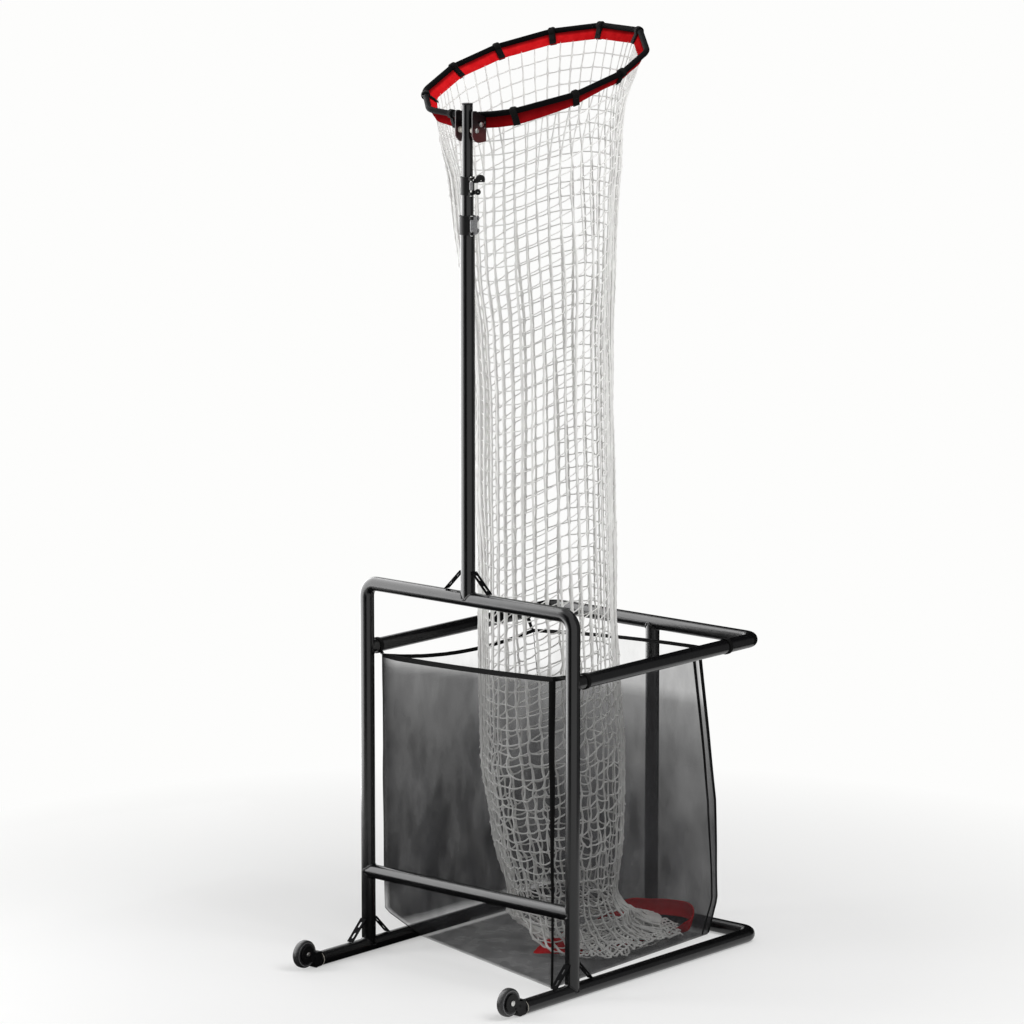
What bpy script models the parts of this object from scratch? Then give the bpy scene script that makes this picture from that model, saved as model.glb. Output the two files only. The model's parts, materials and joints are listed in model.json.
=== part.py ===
# Volleyball setter target: a wheeled tube frame, a telescoping mast, a tilting hoop, a net chute and a ball basket.
# Metres, +Z up. X runs across the frame, Y runs from the mast side to the back.
# Every place below is measured from the mast's axis at floor level, and one empty then moves the
# whole object so that the origin lies at the middle of its footprint.

import math

import bmesh
import bpy
import numpy as np
from mathutils import Matrix, Vector

# Driving dimensions

GAP = 0.0003            # clearance between pieces that touch
TUBE_R = 0.01905        # 38.1 mm frame tube
TUBE_WALL = 0.0015
BEND_R = 0.036          # centreline radius of the frame's bends
FRAME_W = 0.716         # between the two uprights
FRAME_D = 0.765         # uprights to the back rails
CROSSBAR_Z = 0.224
BASKET_RAIL_Z = 0.835
TOP_RAIL_Z = 1.0116
RAIL_FRONT = -0.1945    # open front ends of the base rails

MIDDLE_R = 0.0160
UPPER_R = 0.01425
LOWER_TOP = 2.0165
MIDDLE_BOTTOM = 1.080
MIDDLE_TOP = 2.1170
UPPER_BOTTOM = 1.150
MAST_TOP = 2.3070
LOWER_CLAMP_Z = (1.9686, 2.0175)
UPPER_CLAMP_Z = (2.0715, 2.1180)

WHEEL_R = 0.0373
WHEEL_Y = -0.254
WHEEL_Z = 0.0435
WHEEL_W = 0.020

PIVOT = Vector((0.0, 0.0019, 2.2377))       # hoop tilt axis, along X through the mast
LOCK = Vector((0.0, 0.0191, 2.2526))        # bolt that holds the tilt
PIVOT_R = 0.0040
LOCK_R = 0.0031
PLATE_X = 0.0285        # each hoop plate's middle, to the side of the mast
PLATE = 0.0030
HOOP_CENTRE = Vector((-0.0395, 0.3166, 2.3700))
HOOP_TILT = math.radians(19.1)
HOOP_ROLL = math.radians(-3.0)
HOOP_R = 0.3080          # to the corners of the ring's centreline
MEET_R = 0.300           # to its two ends, which meet behind the mast
MEET_RUN = 0.050         # straight run of each end
RING_BEND = 0.080
RING_R = 0.0078
BAND_TOP = 0.0088       # below the ring's centreline
BAND_LOW = 0.0375
BAND_LEAN = math.radians(42)
BAND_RIGHT = 0.0140     # where the band starts, to the right of the mast, behind the plate's back edge
BAND_LEFT = 0.0385      # where it ends, outside the left plate
STRAP_WIDTH = 0.018
TILT_DOWN = math.radians(20.0)
TILT_UP = math.radians(12.0)

CHUTE_X = -0.014
CHUTE_TOP = 2.100
CHUTE_BOTTOM = 0.140
CORD = 0.0070           # the net's cords, drawn coarse: fewer and thicker than the real ones
CLOTH = 0.0018

SIDES = 12              # facets round a frame tube
NET_SIDES = 20
TAIL_SIDES = 24
MAST_SIDES = 32         # finer, because the mast's tubes slide in each other

FRONT_REACH = WHEEL_Y - WHEEL_R
BACK_REACH = FRAME_D + TUBE_R
MIDDLE_Y = (FRONT_REACH + BACK_REACH) / 2


# Scene and helpers

for leftover in list(bpy.data.objects):
    bpy.data.objects.remove(leftover, do_unlink=True)

parts = bpy.data.collections.new("setter_target")
cutters = bpy.data.collections.new("setter_target_cutters")
bpy.context.scene.collection.children.link(parts)
bpy.context.scene.collection.children.link(cutters)


def make_material(name, colour, roughness, metallic=0.0):
    material = bpy.data.materials.new(name)
    material.use_nodes = True
    shader = material.node_tree.nodes["Principled BSDF"]
    shader.inputs["Base Color"].default_value = (*colour, 1.0)
    shader.inputs["Roughness"].default_value = roughness
    shader.inputs["Metallic"].default_value = metallic
    material.diffuse_color = (*colour, 1.0)
    return material


POWDER_BLACK = make_material("powder_coated_steel", (0.020, 0.020, 0.022), 0.38, 0.3)
CLAMP_BLACK = make_material("glass_filled_nylon", (0.012, 0.012, 0.012), 0.55)
LEVER_GREY = make_material("cast_lever", (0.060, 0.060, 0.062), 0.45, 0.4)
ZINC = make_material("zinc_plated_steel", (0.55, 0.55, 0.54), 0.30, 1.0)
PLATE_RED = make_material("painted_plate", (0.060, 0.010, 0.010), 0.40, 0.3)
WHEEL_RUBBER = make_material("wheel_rubber", (0.018, 0.018, 0.018), 0.70)
WHEEL_HUB = make_material("wheel_hub", (0.030, 0.030, 0.032), 0.50)
NATURAL_NYLON = make_material("natural_nylon", (0.62, 0.60, 0.55), 0.45)
RED_VINYL = make_material("red_vinyl", (0.520, 0.012, 0.016), 0.38)
BLACK_WEBBING = make_material("black_webbing", (0.010, 0.010, 0.010), 0.85)
NET_CORD = make_material("white_net_cord", (0.66, 0.66, 0.64), 0.80)
BASKET_MESH = make_material("black_mesh_cloth", (0.045, 0.045, 0.047), 0.85)


def make_empty(name, location, parent=None):
    empty = bpy.data.objects.new(name, None)
    empty.location = location
    empty.parent = parent
    empty.empty_display_size = 0.05
    parts.objects.link(empty)
    return empty


def add_object(name, data, material, parent, location=(0, 0, 0), rotation=(0, 0, 0)):
    obj = bpy.data.objects.new(name, data)
    obj.location = location
    obj.rotation_euler = rotation
    obj.parent = parent
    data.materials.append(material)
    parts.objects.link(obj)
    return obj


def make_cutter(name, mesh, parent, location=(0, 0, 0), rotation=(0, 0, 0)):
    obj = bpy.data.objects.new(name, mesh)
    obj.location = location
    obj.rotation_euler = rotation
    obj.parent = parent
    obj.hide_render = True
    obj.display_type = "WIRE"
    cutters.objects.link(obj)
    return obj


def boolean(obj, other, operation):
    modifier = obj.modifiers.new(operation.lower() + "_" + other.name, "BOOLEAN")
    modifier.operation = operation
    modifier.object = other


def smooth(mesh, degrees=40):
    mesh.shade_smooth()
    mesh.set_sharp_from_angle(angle=math.radians(degrees))


def cylinder_mesh(name, radius, length, sides=24, axis="Z"):
    bm = bmesh.new()
    turn = {
        "X": Matrix.Rotation(math.pi / 2, 4, "Y"),
        "Y": Matrix.Rotation(math.pi / 2, 4, "X"),
        "Z": Matrix.Identity(4),
    }[axis]
    bmesh.ops.create_cone(
        bm, cap_ends=True, segments=sides, radius1=radius, radius2=radius, depth=length, matrix=turn
    )
    mesh = bpy.data.meshes.new(name)
    bm.to_mesh(mesh)
    bm.free()
    smooth(mesh)
    return mesh


def box_mesh(name, size, bevel=0.0):
    bm = bmesh.new()
    bmesh.ops.create_cube(bm, size=1.0)
    bmesh.ops.scale(bm, vec=size, verts=bm.verts)
    if bevel:
        bmesh.ops.bevel(bm, geom=list(bm.edges), offset=bevel, segments=2, affect="EDGES", profile=0.5)
    mesh = bpy.data.meshes.new(name)
    bm.to_mesh(mesh)
    bm.free()
    smooth(mesh)
    return mesh


def turned_mesh(name, profile, axis="Z", sides=32):
    """Closed profile of (radius, height) points spun once round the axis."""
    turn = {
        "X": Matrix.Rotation(math.pi / 2, 4, "Y"),
        "Y": Matrix.Rotation(-math.pi / 2, 4, "X"),
        "Z": Matrix.Identity(4),
    }[axis]
    bm = bmesh.new()
    verts = [bm.verts.new((radius, 0.0, height)) for radius, height in profile]
    edges = [bm.edges.new((verts[i], verts[(i + 1) % len(verts)])) for i in range(len(verts))]
    bmesh.ops.spin(
        bm, geom=verts + edges, axis=(0, 0, 1), cent=(0, 0, 0), angle=2 * math.pi, steps=sides, use_merge=True
    )
    bmesh.ops.remove_doubles(bm, verts=bm.verts, dist=0.000001)
    bmesh.ops.recalc_face_normals(bm, faces=bm.faces)
    bmesh.ops.transform(bm, matrix=turn, verts=bm.verts)
    mesh = bpy.data.meshes.new(name)
    bm.to_mesh(mesh)
    bm.free()
    smooth(mesh)
    return mesh


def rounded_path(corners, radius, steps=5):
    """The corner points joined by straight runs, each inner corner turned into an arc."""
    corners = [Vector(corner) for corner in corners]
    points = [corners[0]]
    for before, corner, after in zip(corners, corners[1:], corners[2:]):
        to_before = (before - corner).normalized()
        to_after = (after - corner).normalized()
        half = to_before.angle(to_after) / 2
        reach = radius / math.tan(half)
        centre = corner + (to_before + to_after).normalized() * (radius / math.sin(half))
        start = corner + to_before * reach - centre
        finish = corner + to_after * reach - centre
        sweep = start.angle(finish)
        for step in range(steps + 1):
            share = step / steps
            arm = (start * math.sin((1 - share) * sweep) + finish * math.sin(share * sweep)) / math.sin(sweep)
            points.append(centre + arm)
    points.append(corners[-1])
    return points


def sweep_mesh(name, points, radius, sides=SIDES, capped=False, cyclic=False):
    """A round tube swept along the points, as a mesh."""
    curve = bpy.data.curves.new(name, "CURVE")
    curve.dimensions = "3D"
    curve.bevel_depth = radius
    curve.bevel_resolution = (sides - 4) // 2
    curve.use_fill_caps = capped
    spline = curve.splines.new("POLY")
    spline.points.add(len(points) - 1)
    for place, point in zip(spline.points, points):
        place.co = (*point, 1.0)
    spline.use_cyclic_u = cyclic
    holder = bpy.data.objects.new(name + "_path", curve)
    parts.objects.link(holder)
    graph = bpy.context.evaluated_depsgraph_get()
    mesh = bpy.data.meshes.new_from_object(holder.evaluated_get(graph))
    bpy.data.objects.remove(holder, do_unlink=True)
    bpy.data.curves.remove(curve)
    bm = bmesh.new()
    bm.from_mesh(mesh)
    bmesh.ops.remove_doubles(bm, verts=bm.verts, dist=0.00001)
    bmesh.ops.recalc_face_normals(bm, faces=bm.faces)
    bm.to_mesh(mesh)
    bm.free()
    mesh.materials.clear()
    smooth(mesh)
    return mesh


def hollow_tube(name, points, radius, material, parent, wall=TUBE_WALL, sides=SIDES):
    """An open-ended tube with a real wall."""
    obj = add_object(name, sweep_mesh(name, points, radius, sides), material, parent)
    shell = obj.modifiers.new("wall", "SOLIDIFY")
    shell.thickness = wall
    shell.offset = -1.0
    return obj


def cope(obj, centre, along, parent, radius=TUBE_R, length=0.2):
    """Cuts the end of a tube to the shape of the tube it is welded to."""
    mesh = cylinder_mesh(obj.name + "_cope", radius + GAP, length, 32, along)
    boolean(obj, make_cutter(mesh.name, mesh, parent, centre), "DIFFERENCE")


def arc(centre, radius, start_deg, end_deg, steps):
    """Points on an arc, from one angle to the other in degrees."""
    angles = np.radians(np.linspace(start_deg, end_deg, steps + 1))
    return [(centre[0] + radius * math.cos(a), centre[1] + radius * math.sin(a)) for a in angles]


def flat_mesh(name, outlines, thickness):
    """A flat plate in the local XY plane. The first outline is its edge and the others are holes."""
    curve = bpy.data.curves.new(name, "CURVE")
    curve.dimensions = "2D"
    curve.fill_mode = "BOTH"
    curve.extrude = thickness / 2
    for outline in outlines:
        spline = curve.splines.new("POLY")
        spline.points.add(len(outline) - 1)
        for place, (x, y) in zip(spline.points, outline):
            place.co = (x, y, 0.0, 1.0)
        spline.use_cyclic_u = True
    holder = bpy.data.objects.new(name + "_outline", curve)
    parts.objects.link(holder)
    graph = bpy.context.evaluated_depsgraph_get()
    mesh = bpy.data.meshes.new_from_object(holder.evaluated_get(graph))
    bpy.data.objects.remove(holder, do_unlink=True)
    bpy.data.curves.remove(curve)
    bm = bmesh.new()
    bm.from_mesh(mesh)
    bmesh.ops.remove_doubles(bm, verts=bm.verts, dist=0.000001)
    bmesh.ops.recalc_face_normals(bm, faces=bm.faces)
    bm.to_mesh(mesh)
    bm.free()
    mesh.materials.clear()
    smooth(mesh)
    return mesh


def shell_mesh(name, rings, floor=False):
    """An open surface through rings of points, the lowest ring closed by a floor where asked."""
    bm = bmesh.new()
    rows = [[bm.verts.new(point) for point in ring] for ring in rings]
    count = len(rows[0])
    for lower, upper in zip(rows, rows[1:]):
        for i in range(count):
            j = (i + 1) % count
            bm.faces.new((lower[i], lower[j], upper[j], upper[i]))
    if floor:
        bm.faces.new(list(reversed(rows[0])))
    mesh = bpy.data.meshes.new(name)
    bm.to_mesh(mesh)
    bm.free()
    smooth(mesh, 60)
    return mesh


def walled_mesh(name, rings, thickness):
    """A tube of cloth through rings of points, its wall measured level, so that both rims stay flat."""
    bm = bmesh.new()
    rows = []
    for ring in rings:
        ring = [Vector(point) for point in ring]
        middle = sum(ring, Vector()) / len(ring)
        row = []
        for point in ring:
            inward = middle - point
            inward.z = 0.0
            row.append((bm.verts.new(point), bm.verts.new(point + inward.normalized() * thickness)))
        rows.append(row)
    count = len(rows[0])
    for i in range(count):
        j = (i + 1) % count
        for lower, upper in zip(rows, rows[1:]):
            bm.faces.new((lower[i][0], lower[j][0], upper[j][0], upper[i][0]))
            bm.faces.new((lower[j][1], lower[i][1], upper[i][1], upper[j][1]))
        low, high = rows[0], rows[-1]
        bm.faces.new((low[j][0], low[i][0], low[i][1], low[j][1]))
        bm.faces.new((high[i][0], high[j][0], high[j][1], high[i][1]))
    mesh = bpy.data.meshes.new(name)
    bm.to_mesh(mesh)
    bm.free()
    smooth(mesh, 60)
    return mesh


def add_net(name, rings, parent):
    """A tube of openwork: one cord along every edge between the rings' points, all joined at the knots."""
    net = add_object(name, shell_mesh(name, rings), NET_CORD, parent)
    cords = net.modifiers.new("cords", "WIREFRAME")
    cords.thickness = CORD
    cords.use_boundary = True
    cords.use_even_offset = False


def add_wall(obj, thickness):
    shell = obj.modifiers.new("wall", "SOLIDIFY")
    shell.thickness = thickness
    shell.offset = -1.0


SIDE_PLANE = (math.pi / 2, 0, math.pi / 2)      # local X, Y, Z lie along world Y, Z, X

origin = make_empty("footprint_middle", (0, -MIDDLE_Y, 0))


# Welded tube frame

def build_frame():
    half = FRAME_W / 2
    base = [
        (-half, RAIL_FRONT, TUBE_R),
        (-half, FRAME_D, TUBE_R),
        (half, FRAME_D, TUBE_R),
        (half, RAIL_FRONT, TUBE_R),
    ]
    hollow_tube("base_rail", rounded_path(base, BEND_R), TUBE_R, POWDER_BLACK, origin)

    front = [(-half, 0, TUBE_R), (-half, 0, TOP_RAIL_Z), (half, 0, TOP_RAIL_Z), (half, 0, TUBE_R)]
    front_frame = hollow_tube("front_frame", rounded_path(front, BEND_R), TUBE_R, POWDER_BLACK, origin)
    for side in (-1, 1):
        cope(front_frame, (side * half, 0, TUBE_R), "Y", origin)

    basket = [
        (-half, 0, BASKET_RAIL_Z),
        (-half, FRAME_D, BASKET_RAIL_Z),
        (half, FRAME_D, BASKET_RAIL_Z),
        (half, 0, BASKET_RAIL_Z),
    ]
    basket_rail = hollow_tube("basket_rail", rounded_path(basket, BEND_R), TUBE_R, POWDER_BLACK, origin)
    for side in (-1, 1):
        cope(basket_rail, (side * half, 0, BASKET_RAIL_Z), "Z", origin)

    ends = [(-half, 0, CROSSBAR_Z), (half, 0, CROSSBAR_Z)]
    crossbar = hollow_tube("front_crossbar", ends, TUBE_R, POWDER_BLACK, origin)
    for side in (-1, 1):
        cope(crossbar, (side * half, 0, CROSSBAR_Z), "Z", origin)

    ends = [(0, FRAME_D, TUBE_R), (0, FRAME_D, BASKET_RAIL_Z)]
    upright = hollow_tube("rear_upright", ends, TUBE_R, POWDER_BLACK, origin)
    for height in (TUBE_R, BASKET_RAIL_Z):
        cope(upright, (0, FRAME_D, height), "X", origin)


GUSSET = {"leg": 0.056, "width": 0.020, "thickness": 0.0026, "slot": 0.0034, "slot_run": 0.012}


def gusset_mesh():
    """A flat strap with two slots, its length along local X and its width along local Y."""
    length = GUSSET["leg"] * math.sqrt(2) - GUSSET["thickness"]
    half, wide, slot, run = length / 2, GUSSET["width"] / 2, GUSSET["slot"], GUSSET["slot_run"]
    outlines = [[(-half, -wide), (half, -wide), (half, wide), (-half, wide)]]
    for middle in (-half * 0.46, half * 0.46):
        right = arc((middle + run / 2, 0), slot, -90, 90, 6)
        left = arc((middle - run / 2, 0), slot, 90, 270, 6)
        outlines.append(right + left)
    return flat_mesh("gusset", outlines, GUSSET["thickness"])


def build_gussets():
    """Straps at 45 degrees: two across the mast's foot, and two along each leg's foot."""
    reach = TUBE_R + GAP + GUSSET["leg"] / 2
    half = FRAME_W / 2
    for word, side in (("left", -1), ("right", 1)):
        place = (side * reach, 0, TOP_RAIL_Z + reach)
        turn = (0, side * math.pi / 4, 0)
        add_object(f"mast_gusset_{word}", gusset_mesh(), POWDER_BLACK, origin, place, turn)
    for word, side in (("left", -1), ("right", 1)):
        for end, way in (("front", -1), ("back", 1)):
            place = (side * half, way * reach, TUBE_R + reach)
            turn = (Matrix.Rotation(-way * math.pi / 4, 3, "X") @ Matrix.Rotation(math.pi / 2, 3, "Z")).to_euler()
            add_object(f"{word}_leg_gusset_{end}", gusset_mesh(), POWDER_BLACK, origin, place, turn)


# Casters

CASTER = {
    "plug_r": 0.0168,
    "plug_run": 0.030,
    "flange_r": 0.0190,
    "flange": 0.0045,
    "body_w": 0.031,
    "cheek": 0.0036,
    "cheek_x": 0.0136,
    "cheek_r": 0.0245,
    "heel_w": 0.024,
    "heel_h": 0.0100,
    "heel_front": -0.2320,
    "axle_r": 0.0040,
    "bore_r": 0.0043,
}


def build_caster(word, side):
    spot = make_empty(f"{word}_wheel_centre", (side * FRAME_W / 2, WHEEL_Y, WHEEL_Z), origin)
    back = RAIL_FRONT - WHEEL_Y                 # the tube's end, seen from the wheel's centre
    low = -WHEEL_Z
    rail = TUBE_R - WHEEL_Z
    flange_face = back - GAP
    body_back = flange_face - CASTER["flange"]
    body_front = WHEEL_R + 0.0030

    plug_profile = [
        (0.0, back + CASTER["plug_run"]),
        (CASTER["plug_r"], back + CASTER["plug_run"]),
        (CASTER["plug_r"], flange_face),
        (CASTER["flange_r"], flange_face),
        (CASTER["flange_r"], body_back),
        (0.0, body_back),
    ]
    plug_mesh = turned_mesh(f"{word}_caster_plug", plug_profile, "Y", 20)
    housing = add_object(f"{word}_caster_housing", plug_mesh, CLAMP_BLACK, spot, (0, 0, rail))

    height = 0.0455
    depth = body_back - body_front + 0.001
    block = box_mesh(f"{word}_caster_block", (CASTER["body_w"], depth, height), 0.002)
    place = (0, body_front + depth / 2, low + height / 2)
    boolean(housing, make_cutter(block.name, block, spot, place), "UNION")

    heel_back = body_back - 0.002
    heel_front = CASTER["heel_front"] - WHEEL_Y
    heel = box_mesh(f"{word}_caster_heel", (CASTER["heel_w"], heel_back - heel_front, CASTER["heel_h"]), 0.0015)
    place = (0, (heel_back + heel_front) / 2, low + CASTER["heel_h"] / 2)
    boolean(housing, make_cutter(heel.name, heel, spot, place), "UNION")

    top = low + height - 0.002
    reach = body_front + 0.002
    outline = arc((0, 0), CASTER["cheek_r"], 70, 290, 16)
    outline += [(reach, low + 0.004), (reach, top)]
    bore = arc((0, 0), CASTER["bore_r"], 0, 345, 23)
    for hand in (-1, 1):
        cheek = flat_mesh(f"{word}_caster_cheek_{hand}", [outline, bore], CASTER["cheek"])
        place = (hand * CASTER["cheek_x"], 0, 0)
        boolean(housing, make_cutter(cheek.name, cheek, spot, place, SIDE_PLANE), "UNION")

    outer = CASTER["cheek_x"] + CASTER["cheek"] / 2 + GAP
    head = outer + 0.0024
    axle = [
        (0.0, -head), (0.0072, -head), (0.0072, -outer), (CASTER["axle_r"], -outer),
        (CASTER["axle_r"], outer), (0.0072, outer), (0.0072, head), (0.0, head),
    ]
    add_object(f"{word}_axle", turned_mesh(f"{word}_axle", axle, "X", 24), ZINC, spot)

    half = WHEEL_W / 2
    seat = 0.0270
    tyre = [
        (seat + GAP, -half), (WHEEL_R - 0.004, -half), (WHEEL_R - 0.001, -half + 0.0025),
        (WHEEL_R, -half + 0.006), (WHEEL_R, half - 0.006), (WHEEL_R - 0.001, half - 0.0025),
        (WHEEL_R - 0.004, half), (seat + GAP, half),
    ]
    add_object(f"{word}_tyre", turned_mesh(f"{word}_tyre", tyre, "X", 28), WHEEL_RUBBER, spot)

    hub = [
        (CASTER["bore_r"], -half), (0.0095, -half), (0.0215, -half + 0.005), (seat, -half + 0.001),
        (seat, half - 0.001), (0.0215, half - 0.005), (0.0095, half), (CASTER["bore_r"], half),
    ]
    add_object(f"{word}_hub", turned_mesh(f"{word}_hub", hub, "X", 24), WHEEL_HUB, spot)


# Telescoping mast

def build_mast():
    run = [(0, 0, TOP_RAIL_Z), (0, 0, LOWER_TOP)]
    lower = hollow_tube("mast_lower", run, TUBE_R, POWDER_BLACK, origin, sides=MAST_SIDES)
    cope(lower, (0, 0, TOP_RAIL_Z), "X", origin)
    middle_axis = make_empty("mast_middle_slide", (0, 0, MIDDLE_BOTTOM), origin)
    upper_axis = make_empty("mast_upper_slide", (0, 0, UPPER_BOTTOM), origin)
    run = [(0, 0, 0), (0, 0, MIDDLE_TOP - MIDDLE_BOTTOM)]
    hollow_tube("mast_middle", run, MIDDLE_R, POWDER_BLACK, middle_axis, sides=MAST_SIDES)
    run = [(0, 0, 0), (0, 0, MAST_TOP - 0.003 - GAP - UPPER_BOTTOM)]
    upper = hollow_tube("mast_upper", run, UPPER_R, POWDER_BLACK, upper_axis, sides=MAST_SIDES)
    bore = cylinder_mesh("mast_upper_bore", PIVOT_R + GAP, 0.06, 16, "X")
    boolean(upper, make_cutter(bore.name, bore, upper_axis, PIVOT - Vector((0, 0, UPPER_BOTTOM))), "DIFFERENCE")

    inside = TUBE_R - TUBE_WALL
    bush = [
        (MIDDLE_R + GAP, LOWER_TOP - 0.040), (inside - GAP, LOWER_TOP - 0.040),
        (inside - GAP, LOWER_TOP - 0.001), (MIDDLE_R + GAP, LOWER_TOP - 0.001),
    ]
    add_object("mast_guide_bush", turned_mesh("mast_guide_bush", bush), NATURAL_NYLON, origin)
    glide = [
        (MIDDLE_R - 0.005, -0.022), (inside - GAP, -0.022), (inside - GAP, -GAP), (MIDDLE_R - 0.005, -GAP),
    ]
    add_object("mast_end_glide", turned_mesh("mast_end_glide", glide), NATURAL_NYLON, middle_axis)

    rim = MAST_TOP - UPPER_BOTTOM
    cap = [
        (0.0, rim - 0.018), (UPPER_R - TUBE_WALL - GAP, rim - 0.018), (UPPER_R - TUBE_WALL - GAP, rim - 0.003),
        (UPPER_R + 0.0004, rim - 0.003), (UPPER_R + 0.0004, rim - 0.0008), (UPPER_R - 0.0008, rim), (0.0, rim),
    ]
    add_object("mast_top_cap", turned_mesh("mast_top_cap", cap), CLAMP_BLACK, upper_axis)
    return middle_axis, upper_axis


CLAMP = {
    "wall": 0.0026,
    "pin_angle": math.radians(-25.0),
    "pin_r": 0.0022,
    "pin_out": 0.0056,      # pin's axis outside the collar
    "lug_r": 0.0048,
    "lug_h": 0.0085,
    "lever_wall": 0.0030,
    "lever_sweep": 84.0,
    "upper_open_deg": -58.0,
}


def pin_place(tube_r):
    """The lever pin's axis beside a clamp on a tube of this radius."""
    out = tube_r + GAP + CLAMP["wall"] + CLAMP["pin_out"]
    return out * math.cos(CLAMP["pin_angle"]), out * math.sin(CLAMP["pin_angle"])


def lever_mesh(name, tube_r, height):
    """A flip lever that wraps its collar when shut, with two prongs at its free end. Local origin on the pin."""
    pin_x, pin_y = pin_place(tube_r)
    inner = tube_r + GAP + CLAMP["wall"] + 0.0012
    outer = inner + CLAMP["lever_wall"]
    start = math.degrees(CLAMP["pin_angle"]) + 13
    finish = math.degrees(CLAMP["pin_angle"]) + CLAMP["lever_sweep"]
    out_run = arc((0, 0), outer, start, finish - 14, 8)
    lip_angle = math.radians(finish)
    lip_way = Vector((math.cos(lip_angle), math.sin(lip_angle)))
    across = Vector((-lip_way.y, lip_way.x))
    tip = lip_way * (outer + 0.0060)
    tip_out = tip - across * 0.0030
    tip_in = tip + across * 0.0004
    back = lip_way * (inner + 0.0008)
    in_run = arc((0, 0), inner, finish - 8, start, 8)
    web = [(x - pin_x, y - pin_y) for x, y in out_run]
    web += [(p.x - pin_x, p.y - pin_y) for p in (tip_out, tip_in, back)]
    web += [(x - pin_x, y - pin_y) for x, y in in_run]
    return flat_mesh(name, [web], height)


def neck_mesh(name, tube_r, height):
    """The short strap that joins the lever's plate to its barrel between the two lugs."""
    pin_x, pin_y = pin_place(tube_r)
    inner = tube_r + GAP + CLAMP["wall"] + 0.0014
    outer = inner + CLAMP["lever_wall"] - 0.0004
    start = math.degrees(CLAMP["pin_angle"]) + 1
    outline = arc((0, 0), outer, start, start + 24, 5) + arc((0, 0), inner, start + 24, start, 5)
    return flat_mesh(name, [[(x - pin_x, y - pin_y) for x, y in outline]], height)


def build_clamp(word, tube_r, span, parent, parent_z, open_deg):
    """Split collar with two lugs, a vertical pin, and the flip lever between the lugs."""
    low, high = span[0] - parent_z, span[1] - parent_z
    middle, height = (low + high) / 2, high - low
    inner = tube_r + GAP
    outer = inner + CLAMP["wall"]
    pin_x, pin_y = pin_place(tube_r)
    ring = [(inner, low), (outer, low), (outer, high), (inner, high)]
    collar = add_object(f"{word}_clamp_collar", turned_mesh(f"{word}_clamp_collar", ring), CLAMP_BLACK, parent)
    for level in (low + CLAMP["lug_h"] / 2, high - CLAMP["lug_h"] / 2):
        way = CLAMP["pin_angle"]
        root = outer - 0.0012
        reach = math.hypot(pin_x, pin_y)
        lug_outline = arc((reach, 0), CLAMP["lug_r"], -90, 90, 8) + [(root, CLAMP["lug_r"]), (root, -CLAMP["lug_r"])]
        hole = arc((reach, 0), CLAMP["pin_r"] + GAP, 0, 330, 11)
        lug = flat_mesh(f"{word}_lug_{level:.3f}", [lug_outline, hole], CLAMP["lug_h"])
        boolean(collar, make_cutter(lug.name, lug, parent, (0, 0, level), (0, 0, way)), "UNION")
    slit = box_mesh(f"{word}_slit", (0.02, 0.0020, height + 0.01))
    slit_way = CLAMP["pin_angle"] + math.radians(150)
    place = (outer * math.cos(slit_way), outer * math.sin(slit_way), middle)
    boolean(collar, make_cutter(slit.name, slit, parent, place, (0, 0, slit_way)), "DIFFERENCE")

    lever_h = height - 2 * CLAMP["lug_h"] - 0.0012
    pin_axis = make_empty(f"{word}_lever_axis", (pin_x, pin_y, middle), parent)
    pin_axis.rotation_euler = (0, 0, math.radians(open_deg))
    barrel = cylinder_mesh(f"{word}_clamp_lever", CLAMP["lug_r"], lever_h, 20)
    lever = add_object(f"{word}_clamp_lever", barrel, LEVER_GREY, pin_axis)
    plate = lever_mesh(f"{word}_lever_plate", tube_r, height - 0.001)
    boolean(lever, make_cutter(plate.name, plate, pin_axis), "UNION")
    neck = neck_mesh(f"{word}_lever_neck", tube_r, lever_h - 0.001)
    boolean(lever, make_cutter(neck.name, neck, pin_axis), "UNION")
    bore = cylinder_mesh(f"{word}_lever_bore", CLAMP["pin_r"] + GAP, height + 0.02, 16)
    boolean(lever, make_cutter(bore.name, bore, pin_axis), "DIFFERENCE")
    tip = math.radians(math.degrees(CLAMP["pin_angle"]) + CLAMP["lever_sweep"])
    far = outer + 0.0095
    notch = cylinder_mesh(f"{word}_lever_notch", 0.0068, 0.03, 20)
    place = (far * math.cos(tip) - pin_x, far * math.sin(tip) - pin_y, -0.0015)
    turn = Matrix.Rotation(tip, 3, "Z") @ Matrix.Rotation(math.pi / 2, 3, "X")
    boolean(lever, make_cutter(notch.name, notch, pin_axis, place, turn.to_euler()), "DIFFERENCE")

    top = height / 2 + GAP
    head = top + 0.0016
    pin = [
        (0.0, -head), (0.0042, -head), (0.0042, -top), (CLAMP["pin_r"], -top),
        (CLAMP["pin_r"], top), (0.0042, top), (0.0042, head), (0.0, head),
    ]
    add_object(f"{word}_clamp_pin", turned_mesh(f"{word}_clamp_pin", pin, "Z", 16), ZINC, parent, (pin_x, pin_y, middle))


# Tilting hoop

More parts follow.
